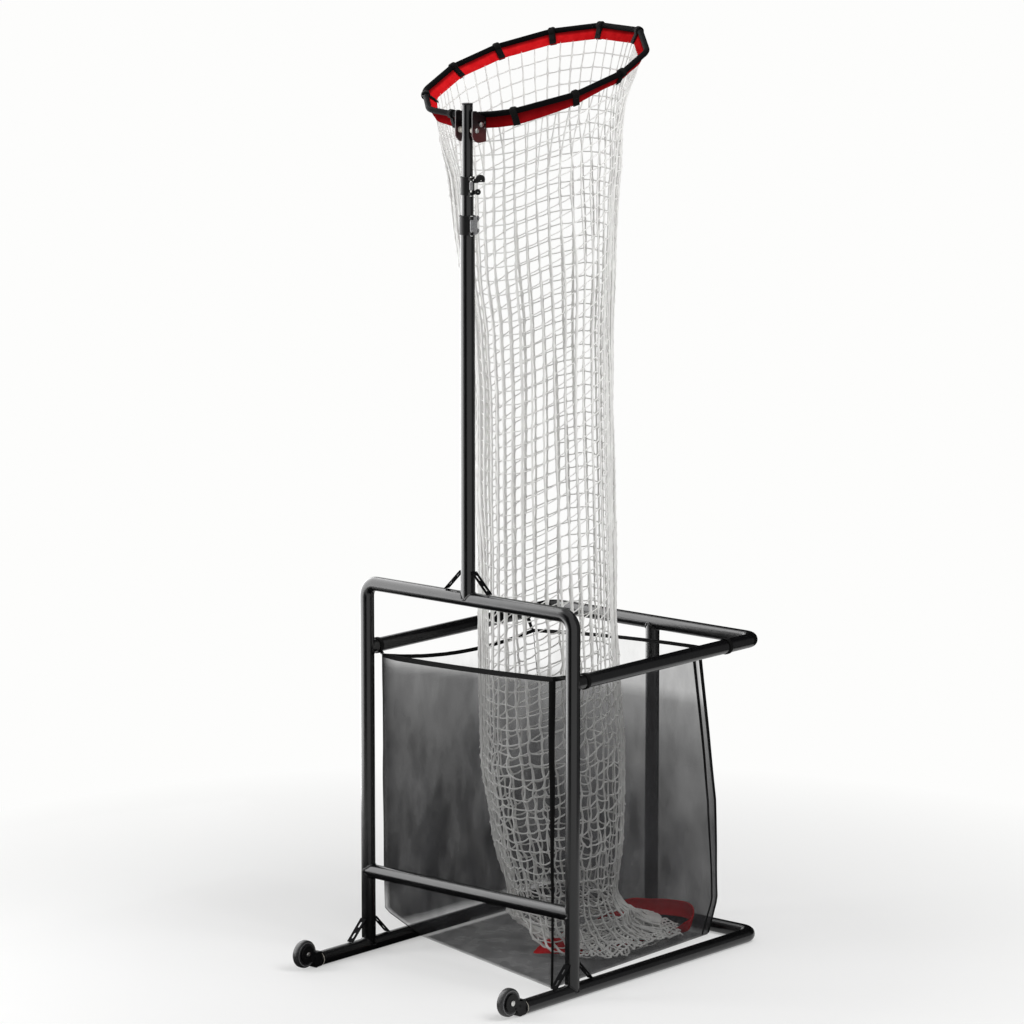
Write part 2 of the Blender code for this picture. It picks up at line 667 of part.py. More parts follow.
def build_bracket(upper_axis):
    """What the mast's top tube carries for the hoop: a saddle, two spacers, the pivot bolt and the lock bolt."""
    inner = PLATE_X - PLATE / 2 - GAP
    saddle_face = UPPER_R + GAP
    place = LOCK - Vector((0, 0, UPPER_BOTTOM))
    outline = [
        (saddle_face - LOCK.y, -0.0090), (0.0030, -0.0090), (0.0054, -0.0060),
        (0.0054, 0.0060), (0.0030, 0.0090), (saddle_face - LOCK.y, 0.0090),
    ]
    hole = arc((0, 0), LOCK_R + GAP, 0, 340, 17)
    saddle = flat_mesh("mast_saddle", [outline, hole], 2 * (inner - 0.0005))
    add_object("mast_saddle", saddle, POWDER_BLACK, upper_axis, place, SIDE_PLANE)

    place = PIVOT - Vector((0, 0, UPPER_BOTTOM))
    start = UPPER_R + GAP
    for word, side in (("left", -1), ("right", 1)):
        ring = [(PIVOT_R + GAP, start), (0.0080, start), (0.0080, inner), (PIVOT_R + GAP, inner)]
        spacer = turned_mesh(f"pivot_spacer_{word}", [(radius, side * reach) for radius, reach in ring], "X", 20)
        add_object(f"pivot_spacer_{word}", spacer, NATURAL_NYLON, upper_axis, place)

    face = PLATE_X + PLATE / 2 + GAP
    bolt = [
        (0.0, -face - 0.0050), (0.0066, -face - 0.0050), (0.0066, -face), (PIVOT_R, -face),
        (PIVOT_R, face), (0.0066, face), (0.0066, face + 0.0032), (0.0045, face + 0.0045), (0.0, face + 0.0045),
    ]
    add_object("hoop_pivot_bolt", turned_mesh("hoop_pivot_bolt", bolt, "X", 20), ZINC, upper_axis, place)
    place = LOCK - Vector((0, 0, UPPER_BOTTOM))
    lock = [
        (0.0, -face - 0.0062), (0.0052, -face - 0.0062), (0.0052, -face - 0.0014), (0.0070, -face - 0.0014),
        (0.0070, -face), (LOCK_R, -face), (LOCK_R, face), (0.0070, face), (0.0070, face + 0.0014),
        (0.0048, face + 0.0014), (0.0048, face + 0.0050), (0.0, face + 0.0050),
    ]
    add_object("hoop_lock_bolt", turned_mesh("hoop_lock_bolt", lock, "X", 20), ZINC, upper_axis, place)


def arc_slot(centre, radius, width, start_deg, end_deg):
    """A closed outline of a curved slot round a centre."""
    half = width / 2
    far = arc(centre, radius, end_deg, end_deg, 0)[0]
    near = arc(centre, radius, start_deg, start_deg, 0)[0]
    outer = arc(centre, radius + half, start_deg, end_deg, 7)
    tip = arc(far, half, end_deg, end_deg + 180, 5)[1:]
    inner = arc(centre, radius - half, end_deg, start_deg, 7)[1:]
    tail = arc(near, half, start_deg + 180, start_deg + 360, 5)[1:-1]
    return outer + tip + inner + tail


# The hoop plate's outline, in metres from the pivot: back, then up.
PLATE_OUTLINE = [
    (0.0375, -0.0299), (0.0375, 0.0345), (0.0282, 0.0365), (0.0149, 0.0408), (0.0050, 0.0478), (-0.0010, 0.0505),
    (-0.0119, 0.0512), (-0.0158, 0.0470), (-0.0158, -0.0140), (-0.0119, -0.0215), (-0.0040, -0.0275),
    (0.0050, -0.0312), (0.0122, -0.0321),
]


def meet_angle():
    """Where round the hoop's centre the ring's two ends meet, right behind the mast."""
    return math.asin(-HOOP_CENTRE.x / MEET_R) - math.pi / 2


# Shares of the way round the ring, from the bracket: where the tube is bent, and where the straps sit.
RING_BENDS = [0.055, 0.141, 0.220, 0.297, 0.399, 0.486, 0.562, 0.643, 0.719, 0.805, 0.895]
STRAP_SHARES = [0.055, 0.141, 0.220, 0.399, 0.486, 0.562, 0.643, 0.719, 0.826, 0.950]


def ring_path():
    """The ring's centreline in the hoop's plane: straight runs between bends, from one end to the other."""
    meet = meet_angle()
    radial = Vector((math.cos(meet), math.sin(meet), 0.0))
    along = Vector((-radial.y, radial.x, 0.0))
    end = radial * MEET_R
    corners = [end + along * 2 * GAP, end + along * MEET_RUN]
    for share in RING_BENDS:
        angle = meet + share * 2 * math.pi
        corners.append(Vector((HOOP_R * math.cos(angle), HOOP_R * math.sin(angle), 0.0)))
    corners += [end - along * MEET_RUN, end - along * 2 * GAP]
    return rounded_path(corners, RING_BEND, 2)


RING_PATH = ring_path()


def ring_radius(angle):
    """The ring's distance from the hoop's centre in this direction."""
    meet = meet_angle()
    turns = [(math.atan2(point.y, point.x) - meet) % (2 * math.pi) for point in RING_PATH]
    after = min(max(int(np.searchsorted(turns, (angle - meet) % (2 * math.pi))), 1), len(turns) - 1)
    start, run = RING_PATH[after - 1], RING_PATH[after] - RING_PATH[after - 1]
    return (start.x * run.y - start.y * run.x) / (math.cos(angle) * run.y - math.sin(angle) * run.x)


def ring_heading(angle):
    """How far the tube turns there from a circle's direction."""
    near = 0.02
    slope = (ring_radius(angle + near) - ring_radius(angle - near)) / (2 * near)
    return -math.atan2(slope, ring_radius(angle))


def band_lean(angle):
    """How far the band leans in below the ring: upright by the bracket, and drawn in by the net elsewhere."""
    away = abs((angle - meet_angle() + math.pi) % (2 * math.pi) - math.pi)
    share = min(1.0, max(0.0, (away - math.radians(12)) / math.radians(60)))
    return BAND_LEAN * share * share * (3 - 2 * share)


def below_ring(angle, drop):
    """A point this far from the ring's centreline, along the leaning band, in the hoop's own plane frame."""
    lean = band_lean(angle)
    radius = ring_radius(angle) - drop * math.sin(lean)
    return Vector((radius * math.cos(angle), radius * math.sin(angle), -drop * math.cos(lean)))


def build_hoop(upper_axis):
    hinge = make_empty("hoop_tilt_axis", PIVOT - Vector((0, 0, UPPER_BOTTOM)), upper_axis)
    plane = make_empty("hoop_plane", HOOP_CENTRE - PIVOT, hinge)
    plane.rotation_euler = (HOOP_TILT, HOOP_ROLL, 0)
    meet = meet_angle()

    # The ring is one bent tube whose two ends meet at the bracket.
    hollow_tube("hoop_ring", RING_PATH, RING_R, POWDER_BLACK, plane, 0.0012, 10)

    reach = math.hypot(LOCK.y - PIVOT.y, LOCK.z - PIVOT.z)
    way = math.degrees(math.atan2(LOCK.z - PIVOT.z, LOCK.y - PIVOT.y))
    spare = math.degrees(0.0004 / reach)
    pivot_hole = arc((0, 0), PIVOT_R + GAP, 0, 342, 19)
    lock_slot = arc_slot(
        (0, 0), reach, 2 * (LOCK_R + GAP),
        way - math.degrees(TILT_UP) - spare, way + math.degrees(TILT_DOWN) + spare,
    )
    window = arc_slot((0.0225, 0.0122), 0.0112, 0.0032, -42, 42)
    run = (RING_PATH[0] - RING_PATH[-1]).normalized() * MEET_RUN
    seat_line = [RING_PATH[-1] - run, RING_PATH[0] + run]
    for word, side in (("left", -1), ("right", 1)):
        plate = flat_mesh(f"hoop_plate_{word}", [PLATE_OUTLINE, pivot_hole, lock_slot, window], PLATE)
        obj = add_object(f"hoop_plate_{word}", plate, PLATE_RED, hinge, (side * PLATE_X, 0, 0), SIDE_PLANE)
        seat = sweep_mesh(f"hoop_plate_{word}_seat", seat_line, RING_R + GAP, 16, True)
        boolean(obj, make_cutter(seat.name, seat, plane), "DIFFERENCE")

    # The band hangs below the ring and stops on each side of the bracket.
    start, finish = BAND_RIGHT / MEET_R, 2 * math.pi - BAND_LEFT / MEET_R
    stops = [share * 2 * math.pi for share in RING_BENDS]
    stops = [start] + stops + [finish]
    bm = bmesh.new()
    rows = []
    for before, after in zip(stops, stops[1:]):
        for turn in np.linspace(before, after, 4)[:-1]:
            rows.append([bm.verts.new(below_ring(meet + turn, drop)) for drop in (BAND_TOP, BAND_LOW)])
    rows.append([bm.verts.new(below_ring(meet + finish, drop)) for drop in (BAND_TOP, BAND_LOW)])
    for first, second in zip(rows, rows[1:]):
        bm.faces.new((first[0], first[1], second[1], second[0]))
    mesh = bpy.data.meshes.new("hoop_band")
    bm.to_mesh(mesh)
    bm.free()
    smooth(mesh)
    band = add_object("hoop_band", mesh, RED_VINYL, plane)
    shell = band.modifiers.new("wall", "SOLIDIFY")
    shell.thickness = 0.0024
    shell.offset = 0.0

    # Ten straps hold the band to the ring, each a loop round the tube with its two tails down the band.
    hug, slack, cloth = RING_R + 0.0018, 0.0048, 0.0014
    lip = math.degrees(math.asin(slack / hug))
    cheek = math.degrees(math.asin((slack + cloth) / (hug + cloth)))
    low = -BAND_LOW - 0.0012
    outline = [(slack, low)] + arc((0, 0), hug, -90 + lip, 270 - lip, 12)
    outline += [(-slack, low), (-slack - cloth, low)]
    outline += arc((0, 0), hug + cloth, 270 - cheek, -90 + cheek, 12) + [(slack + cloth, low)]
    for number, share in enumerate(STRAP_SHARES, 1):
        a = meet + share * 2 * math.pi
        radius = ring_radius(a)
        spot = make_empty(f"strap_spot_{number}", (radius * math.cos(a), radius * math.sin(a), 0), plane)
        spot.rotation_euler = (0, 0, a + ring_heading(a))
        wrap = flat_mesh(f"hoop_strap_{number:02d}", [outline], STRAP_WIDTH)
        add_object(wrap.name, wrap, BLACK_WEBBING, spot, (0, 0, 0), (math.pi / 2, band_lean(a), 0))

    # The net's collar runs from the band down to the level top of the chute.
    tilt = Matrix.Rotation(HOOP_ROLL, 3, "Y") @ Matrix.Rotation(HOOP_TILT, 3, "X")
    low_middle, low_radius = chute_ring(CHUTE_TOP)
    foot_z = CHUTE_TOP + GAP + CORD / 2
    rows = []
    for share in np.linspace(0, 1, 3):
        row = []
        for a in np.linspace(0, 2 * math.pi, NET_SIDES + 1)[:-1]:
            top = HOOP_CENTRE + tilt @ below_ring(a, BAND_LOW + 0.0034 + CORD / 2)
            foot_x = low_middle[0] + low_radius * math.cos(a)
            foot_y = low_middle[1] + low_radius * math.sin(a)
            row.append(Vector((foot_x, foot_y, foot_z)).lerp(top, share) - HOOP_CENTRE)
        rows.append(row)
    level = make_empty("net_collar_level", HOOP_CENTRE - PIVOT, hinge)
    add_net("net_collar", rows, level)


# Net chute

CHUTE_RINGS = [
    # height, middle in Y, radius
    (2.160, 0.2960, 0.2350), (2.082, 0.2900, 0.2180), (1.982, 0.2930, 0.2100), (1.881, 0.3000, 0.2010),
    (1.688, 0.3180, 0.1810), (1.501, 0.3270, 0.1780), (1.232, 0.3320, 0.1810), (0.962, 0.3370, 0.1850),
    (0.714, 0.3490, 0.1910), (0.520, 0.3620, 0.1970), (0.324, 0.3800, 0.1830), (0.124, 0.4060, 0.1460),
]
CHUTE_ROWS = 12         # openings from the chute's top to its foot


def chute_ring(height):
    """Centre and radius of the hanging net at a height."""
    heights = [row[0] for row in reversed(CHUTE_RINGS)]
    middles = [row[1] for row in reversed(CHUTE_RINGS)]
    radii = [row[2] for row in reversed(CHUTE_RINGS)]
    middle = float(np.interp(height, heights, middles))
    return (CHUTE_X, middle), float(np.interp(height, heights, radii))


TAIL_RINGS = [
    # height, middle in X and Y, half width in X and Y
    (0.1388, -0.014, 0.404, 0.149, 0.149),
    (0.1000, 0.004, 0.425, 0.140, 0.165),
    (0.0700, 0.030, 0.450, 0.132, 0.190),
    (0.0460, 0.055, 0.478, 0.124, 0.214),
]


def build_net(upper_axis):
    rows = []
    for height in np.linspace(CHUTE_BOTTOM + CORD / 2, CHUTE_TOP - CORD / 2, CHUTE_ROWS + 1):
        (x, y), radius = chute_ring(height)
        turns = np.linspace(0, 2 * math.pi, NET_SIDES + 1)[:-1]
        rows.append([(x + radius * math.cos(a), y + radius * math.sin(a), height - UPPER_BOTTOM) for a in turns])
    add_net("net_chute", rows, upper_axis)

    rows = []
    for height, x, y, wide, deep in reversed(TAIL_RINGS):
        turns = np.linspace(0, 2 * math.pi, TAIL_SIDES + 1)[:-1]
        rows.append([(x + wide * math.cos(a), y + deep * math.sin(a), height) for a in turns])
    add_object("net_tail", walled_mesh("net_tail", rows, CLOTH), NET_CORD, origin)

    height, x, y, wide, deep = TAIL_RINGS[-1]
    rows = []
    for level, flare in ((0.0075, 0.006), (height - GAP, 0.0)):
        turns = np.linspace(0, 2 * math.pi, TAIL_SIDES + 1)[:-1]
        rows.append([
            (x + (wide + flare) * math.cos(a), y + (deep + flare) * math.sin(a), level) for a in turns
        ])
    add_object("net_end_band", walled_mesh("net_end_band", rows, 0.0024), RED_VINYL, origin)


# Ball basket

BASKET_CORNERS = {
    # height, X and Y, from the floor up to the rim
    "front_left": [(0.0030, -0.336, 0.194), (0.110, -0.338, 0.044), (0.300, -0.337, 0.038), (0.813, -0.336, 0.035)],
    "front_right": [(0.0030, 0.265, 0.028), (0.110, 0.266, 0.030), (0.300, 0.264, 0.031), (0.832, 0.262, 0.031)],
    "back_right": [(0.0030, 0.234, 0.722), (0.110, 0.268, 0.720), (0.390, 0.275, 0.698), (0.820, 0.262, 0.640)],
    "back_left": [(0.0030, -0.334, 0.722), (0.110, -0.336, 0.718), (0.390, -0.336, 0.700), (0.785, -0.335, 0.655)],
}
BASKET_SAG = {"front": 0.004, "right": 0.012, "back": -0.006, "left": 0.026}
BASKET_PER_SIDE = 6


def basket_corner(corner, share):
    """A corner seam's place at a share of its height."""
    rows = BASKET_CORNERS[corner]
    height = rows[0][0] + share * (rows[-1][0] - rows[0][0])
    heights = [row[0] for row in rows]
    x = float(np.interp(height, heights, [row[1] for row in rows]))
    y = float(np.interp(height, heights, [row[2] for row in rows]))
    return Vector((x, y, height))


def basket_ring(share):
    """The basket's outline at a share of its height, each side sagging between its two corners."""
    sides = [
        ("front", "front_left", "front_right"), ("right", "front_right", "back_right"),
        ("back", "back_right", "back_left"), ("left", "back_left", "front_left"),
    ]
    points = []
    for side, first, second in sides:
        start, finish = basket_corner(first, share), basket_corner(second, share)
        for step in range(BASKET_PER_SIDE):
            along = step / BASKET_PER_SIDE
            point = start.lerp(finish, along)
            point.z -= BASKET_SAG[side] * share * 4 * along * (1 - along)
            points.append(point)
    return points


def build_basket():
    shares = [0.0, 0.06, 0.132, 0.30, 0.50, 0.75, 1.0]
    rings = [basket_ring(share) for share in shares]
    rim = [point.copy() for point in rings[-1]]
    for point in rings[-1]:
        point.z -= 0.0036
    basket = add_object("basket_cloth", shell_mesh("basket_cloth", rings, True), BASKET_MESH, origin)
    add_wall(basket, CLOTH)
    binding = sweep_mesh("basket_binding", rim, 0.0030, 8, False, True)
    add_object("basket_binding", binding, BLACK_WEBBING, origin)


LOOPS = {
    # the basket rail's axis in X, and the loop's middle in Y
    "front_left": (-FRAME_W / 2, 0.0380),
    "front_right": (FRAME_W / 2, 0.0440),
    "back_right": (FRAME_W / 2, 0.6340),
    "back_left": (-FRAME_W / 2, 0.6500),
}
LOOP_WIDTH = 0.012


def build_loop(corner):
    """A webbing loop round the basket rail, with a tail that ends at the basket's binding."""
    x, y = LOOPS[corner]
    place = Vector((x, y, BASKET_RAIL_Z))
    rim = basket_corner(corner, 1.0)
    inner, outer = TUBE_R + 0.0007, TUBE_R + 0.0025
    rings = [arc((0, 0), outer, 0, 345, 23), arc((0, 0), inner, 0, 345, 23)]
    loop = flat_mesh(f"basket_loop_{corner}", rings, LOOP_WIDTH)
    obj = add_object(f"basket_loop_{corner}", loop, BLACK_WEBBING, origin, place, (math.pi / 2, 0, 0))
    line = rim - place
    line.y = 0.0
    length = line.length
    start = outer - 0.0009
    tail_length = length - start - 0.0036
    tail = box_mesh(f"basket_loop_{corner}_tail", (tail_length, 0.0018, LOOP_WIDTH))
    way = line.normalized()
    wide = Vector((0, 1, 0))
    thin = wide.cross(way)
    frame = Matrix((way, thin, wide)).transposed()
    middle = place + way * (start + tail_length / 2)
    boolean(obj, make_cutter(tail.name, tail, origin, middle, frame.to_euler()), "UNION")


build_frame()
build_gussets()
build_caster("left", -1)
build_caster("right", 1)
middle_axis, upper_axis = build_mast()
build_clamp("lower", TUBE_R, LOWER_CLAMP_Z, origin, 0.0, 0.0)
build_clamp("upper", MIDDLE_R, UPPER_CLAMP_Z, middle_axis, MIDDLE_BOTTOM, CLAMP["upper_open_deg"])
build_bracket(upper_axis)
build_hoop(upper_axis)
build_net(upper_axis)
build_basket()
for basket_corner_name in LOOPS:
    build_loop(basket_corner_name)
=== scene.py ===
# Volleyball setter target: powder-coated tube frame on two casters, telescoping mast, red-banded hoop,
# knotted cord net and a black mesh basket. Metres, in the CAD model's frame. Places are measured from the
# mast's foot, as on the real object, and every mesh is shifted once to the footprint's middle.

import bisect
import json
import math
import random

import bmesh
import bpy
from mathutils import Matrix, Vector, noise


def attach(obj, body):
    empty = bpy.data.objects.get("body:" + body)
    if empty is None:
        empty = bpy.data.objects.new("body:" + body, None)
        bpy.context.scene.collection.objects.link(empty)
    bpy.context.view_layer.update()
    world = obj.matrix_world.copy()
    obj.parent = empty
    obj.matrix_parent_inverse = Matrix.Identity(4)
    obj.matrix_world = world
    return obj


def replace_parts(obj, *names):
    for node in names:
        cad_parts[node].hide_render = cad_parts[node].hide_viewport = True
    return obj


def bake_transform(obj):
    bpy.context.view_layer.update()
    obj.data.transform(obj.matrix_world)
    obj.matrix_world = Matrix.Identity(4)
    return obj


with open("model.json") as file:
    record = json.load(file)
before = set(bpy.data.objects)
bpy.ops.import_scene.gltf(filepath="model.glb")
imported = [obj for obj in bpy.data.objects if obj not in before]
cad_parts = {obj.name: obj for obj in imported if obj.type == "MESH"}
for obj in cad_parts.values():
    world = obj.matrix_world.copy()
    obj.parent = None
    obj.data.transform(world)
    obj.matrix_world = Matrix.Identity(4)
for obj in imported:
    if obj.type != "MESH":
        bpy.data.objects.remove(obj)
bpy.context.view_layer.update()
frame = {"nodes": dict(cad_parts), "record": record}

footprintShift = Vector((0.0, -0.246375, 0.0))  # mast's foot to the footprint's middle
mm = 0.001


# Colour and nodes

def linear(hexColour):
    channels = []
    for start in (1, 3, 5):
        share = int(hexColour[start:start + 2], 16) / 255
        channels.append(share / 12.92 if share <= 0.04045 else ((share + 0.055) / 1.055) ** 2.4)
    return (*channels, 1.0)


def setInputs(node, inputs):
    # a socket is linked to the input, and anything else becomes the input's own value
    for name, value in dict(inputs).items():
        if isinstance(value, bpy.types.NodeSocket):
            node.id_data.links.new(value, node.inputs[name])
        else:
            node.inputs[name].default_value = value


def addNode(tree, kind, settings=(), inputs=()):
    node = tree.nodes.new(kind)
    for name, value in dict(settings).items():
        setattr(node, name, value)
    setInputs(node, inputs)
    return node


def newMaterial(name):
    material = bpy.data.materials.new(name)
    material.use_nodes = True
    tree = material.node_tree
    shader = tree.nodes["Principled BSDF"]
    place = addNode(tree, "ShaderNodeTexCoord").outputs["Object"]
    return material, tree, shader, place


def blotches(tree, place, grain, span=(0.0, 1.0), give=(0.0, 1.0), detail=2.0, stretch=None):
    # soft blotches, one every grain metres. This span of the noise is spread over the values to give.
    if stretch:
        place = addNode(tree, "ShaderNodeMapping", inputs={"Vector": place, "Scale": stretch}).outputs[0]
    pattern = {"Vector": place, "Scale": 1 / grain, "Detail": detail}
    cloud = addNode(tree, "ShaderNodeTexNoise", inputs=pattern).outputs["Fac"]
    limits = {"Value": cloud, "From Min": span[0], "From Max": span[1], "To Min": give[0], "To Max": give[1]}
    return addNode(tree, "ShaderNodeMapRange", inputs=limits).outputs[0]


def mottled(tree, place, grain, first, second, span=(0.0, 1.0), detail=2.0):
    # a colour that wanders between two shades
    shades = {0: blotches(tree, place, grain, span, detail=detail), 6: linear(first), 7: linear(second)}
    return addNode(tree, "ShaderNodeMix", {"data_type": "RGBA"}, shades).outputs[2]


def relief(tree, place, grain, depth, detail=2.0, stretch=None):
    # a fine grain, this deep
    height = blotches(tree, place, grain, detail=detail, stretch=stretch)
    return addNode(tree, "ShaderNodeBump", inputs={"Height": height, "Distance": depth}).outputs["Normal"]


# Materials

def makePowderCoat(name, gloss, shine):
    # polyester powder baked on steel: near black, with a faint orange peel that softens long highlights
    material, tree, shader, place = newMaterial(name)
    setInputs(shader, {
        "Base Color": mottled(tree, place, 60 * mm, "#0a0a0b", "#101011"),
        "Roughness": blotches(tree, place, 25 * mm, (0.3, 0.7), (gloss - 0.03, gloss + 0.03)),
        "Specular IOR Level": shine,
        "Normal": relief(tree, place, 1.6 * mm, 0.012 * mm),
    })
    return material


def makeMouldedPlastic(name, dark, light, gloss, shine):
    # nylon or polypropylene from a spark-eroded mould: a fine matt grain
    material, tree, shader, place = newMaterial(name)
    setInputs(shader, {
        "Base Color": mottled(tree, place, 9 * mm, dark, light),
        "Roughness": blotches(tree, place, 4 * mm, (0.3, 0.7), (gloss - 0.05, gloss + 0.05)),
        "Specular IOR Level": shine,
        "Normal": relief(tree, place, 0.9 * mm, 0.03 * mm),
    })
    return material


def makeCastLever():
    # zinc casting under thin grey paint: mottled, with brighter worn specks
    material, tree, shader, place = newMaterial("greyPaintedCasting")
    setInputs(shader, {
        "Base Color": mottled(tree, place, 2.2 * mm, "#6a6a6c", "#8d8d8d", (0.42, 0.62), 4.0),
        "Roughness": 0.45,
        "Metallic": 0.25,
        "Normal": relief(tree, place, 1.5 * mm, 0.06 * mm),
    })
    return material


def makeZinc():
    # bright zinc plate on bolts and axles: a clean metal with faint cloudy passivation
    material, tree, shader, place = newMaterial("zincPlatedSteel")
    setInputs(shader, {
        "Base Color": mottled(tree, place, 4 * mm, "#c6c7c5", "#e6e6e2"),
        "Roughness": blotches(tree, place, 3 * mm, (0.3, 0.7), (0.26, 0.38)),
        "Metallic": 1.0,
    })
    return material


def makePlatePaint():
    # bracket plate in very dark red enamel, black from 2.23 m up along a wandering line
    material, tree, shader, place = newMaterial("darkRedEnamel")
    height = addNode(tree, "ShaderNodeSeparateXYZ", inputs={0: place}).outputs[2]
    wander = blotches(tree, place, 12 * mm, give=(0.0, 14 * mm))
    level = addNode(tree, "ShaderNodeMath", {"operation": "ADD"}, {0: height, 1: wander}).outputs[0]
    blackAbove = addNode(tree, "ShaderNodeMapRange", inputs={"Value": level, "From Min": 2.232, "From Max": 2.262})
    shades = {0: blackAbove.outputs[0], 6: linear("#3f0b0d"), 7: linear("#0d0708")}
    setInputs(shader, {
        "Base Color": addNode(tree, "ShaderNodeMix", {"data_type": "RGBA"}, shades).outputs[2],
        "Roughness": 0.36,
        "Normal": relief(tree, place, 1.8 * mm, 0.02 * mm),
    })
    return material


def makeRubber():
    # solid thermoplastic rubber tyre: matt, dusty where it rolls
    material, tree, shader, place = newMaterial("greyBlackRubber")
    setInputs(shader, {
        "Base Color": mottled(tree, place, 5 * mm, "#161617", "#2b2b2c", (0.4, 0.7), 4.0),
        "Roughness": blotches(tree, place, 5 * mm, (0.4, 0.7), (0.42, 0.56), 4.0),
        "Normal": relief(tree, place, 0.8 * mm, 0.03 * mm),
    })
    return material


def makeVinyl():
    # polyester cloth coated with red PVC: matt, with the weave's 1 mm threads printing through. The coated
    # face is bright red, and a value of the piece's own mixes in dark red as painted shade: over the band's
    # outer face, and as a painted shadow under the ring on its inner face.
    material, tree, shader, place = newMaterial("redCoatedCloth")
    coated = mottled(tree, place, 22 * mm, "#cb161c", "#dc2226", (0.35, 0.65), 3.0)
    paintedShade = addNode(tree, "ShaderNodeAttribute", {"attribute_name": "paintedShade"}).outputs["Fac"]
    shades = {0: paintedShade, 6: coated, 7: linear("#3a0508")}
    setInputs(shader, {
        "Base Color": addNode(tree, "ShaderNodeMix", {"data_type": "RGBA"}, shades).outputs[2],
        "Roughness": blotches(tree, place, 22 * mm, (0.35, 0.65), (0.46, 0.56), 3.0),
        "Specular IOR Level": 0.0,
        "Normal": relief(tree, place, 1.0 * mm, 0.08 * mm),
    })
    return material


def makeWebbing():
    # flat woven polypropylene webbing: dull black with 1.5 mm ribs, coarser than real ones so that they show
    material, tree, shader, place = newMaterial("blackWebbing")
    setInputs(shader, {
        "Base Color": mottled(tree, place, 6 * mm, "#070707", "#131313", detail=3.0),
        "Roughness": 0.85,
        "Specular IOR Level": 0.12,
        "Normal": relief(tree, place, 1.5 * mm, 0.25 * mm, 1.0, (1.0, 1.0, 3.0)),
    })
    return material


def makeCord():
    # twisted polyethylene net cord: off-white, nearly matt, with 2 mm turns of its strands
    material, tree, shader, place = newMaterial("whiteTwistedCord")
    setInputs(shader, {
        "Base Color": mottled(tree, place, 40 * mm, "#dedddb", "#eaeae7", (0.35, 0.65)),
        "Roughness": 0.7,
        "Specular IOR Level": 0.3,
        "Normal": relief(tree, place, 2.0 * mm, 0.3 * mm, 1.0),
    })
    return material


def makeMeshCloth():
    # black polyester mesh: a thin see-through knit. How much of it is thread comes from the piece's own
    # "cover" value, and streaks and a ladder of stitches vary it. The stitches are 3 mm, coarser than the
    # real 1 mm ones so that they show. A wave's stripes lie 0.314 / scale apart.
    material, tree, shader, place = newMaterial("blackMeshCloth")
    cover = addNode(tree, "ShaderNodeAttribute", {"attribute_name": "cover"}).outputs["Fac"]
    streak = blotches(tree, place, 60 * mm, (0.3, 0.7), (-0.06, 0.06), 3.0, (1.0, 1.0, 0.45))
    wave = {"wave_type": "BANDS", "bands_direction": "Z"}
    knit = {"Vector": place, "Scale": 0.314 / (3 * mm), "Distortion": 1.2, "Detail": 1.0, "Detail Scale": 1.0}
    ladder = addNode(tree, "ShaderNodeTexWave", wave, knit).outputs["Fac"]
    rungs = addNode(tree, "ShaderNodeMapRange", inputs={"Value": ladder, "To Min": -0.04, "To Max": 0.04})
    for share in (streak, rungs.outputs[0]):
        cover = addNode(tree, "ShaderNodeMath", {"operation": "ADD"}, {0: cover, 1: share}).outputs[0]
    shadow = addNode(tree, "ShaderNodeLightPath").outputs["Is Shadow Ray"]
    # light passes the knit more easily than the eye does
    thin = addNode(tree, "ShaderNodeMath", {"operation": "MULTIPLY_ADD"}, {0: shadow, 1: -0.93, 2: 1.0})
    alpha = addNode(tree, "ShaderNodeMath", {"operation": "MULTIPLY"}, {0: cover, 1: thin.outputs[0]})
    setInputs(shader, {
        "Base Color": mottled(tree, place, 130 * mm, "#29292a", "#38383a", (0.35, 0.65)),
        "Roughness": 0.75,
        "Specular IOR Level": 0.15,
        "Alpha": alpha.outputs[0],
        "Normal": relief(tree, place, 5 * mm, 0.3 * mm),
    })
    return material


materials = {
    "powder_coated_steel": makePowderCoat("blackPowderCoat", 0.22, 0.5),
    # the hoop's tube and the gussets look plain matt
    "satin_hoop_coat": makePowderCoat("satinPowderCoat", 0.50, 0.01),
    "glass_filled_nylon": makeMouldedPlastic("blackGlassFilledNylon", "#070707", "#101011", 0.46, 0.2),
    "cast_lever": makeCastLever(),
    "zinc_plated_steel": makeZinc(),
    "painted_plate": makePlatePaint(),
    "wheel_rubber": makeRubber(),
    "wheel_hub": makeMouldedPlastic("darkMouldedPolypropylene", "#1c1c1e", "#29292b", 0.42, 0.4),
    "natural_nylon": makeMouldedPlastic("naturalNylon", "#cfcabd", "#dbd7cc", 0.40, 0.4),
    "red_vinyl": makeVinyl(),
    "black_webbing": makeWebbing(),
    "white_net_cord": makeCord(),
    "black_mesh_cloth": makeMeshCloth(),
}

for part in frame["record"]["subparts"]:
    node = frame["nodes"][part["node"]]
    finish = "satin_hoop_coat" if "gusset" in part["node"] else part["material_slot"]
    node.data.materials.clear()
    node.data.materials.append(materials[finish])
print("materials done")


# Mesh helpers

upright = Vector((0, 0, 1))


def levelWay(angle):
    return Vector((math.cos(angle), math.sin(angle), 0))


def leftOf(way):
    # a quarter turn on from a level direction
    return Vector((-way.y, way.x, 0))


def newShape():
    return {"points": [], "faces": []}


def addPiece(name, shape, slotName, sharp=40, finish=None):
    mesh = bpy.data.meshes.new(name)
    mesh.from_pydata([Vector(point) + footprintShift for point in shape["points"]], [], shape["faces"])
    solid = bmesh.new()
    solid.from_mesh(mesh)
    bmesh.ops.recalc_face_normals(solid, faces=solid.faces)
    solid.to_mesh(mesh)
    solid.free()
    mesh.shade_smooth()
    mesh.set_sharp_from_angle(angle=math.radians(sharp))
    mesh.materials.append(materials[finish or slotName])
    piece = bpy.data.objects.new(name, mesh)
    bpy.context.scene.collection.objects.link(piece)
    return piece


def pointValues(piece, name, values):
    piece.data.attributes.new(name, "FLOAT", "POINT").data.foreach_set("value", values)


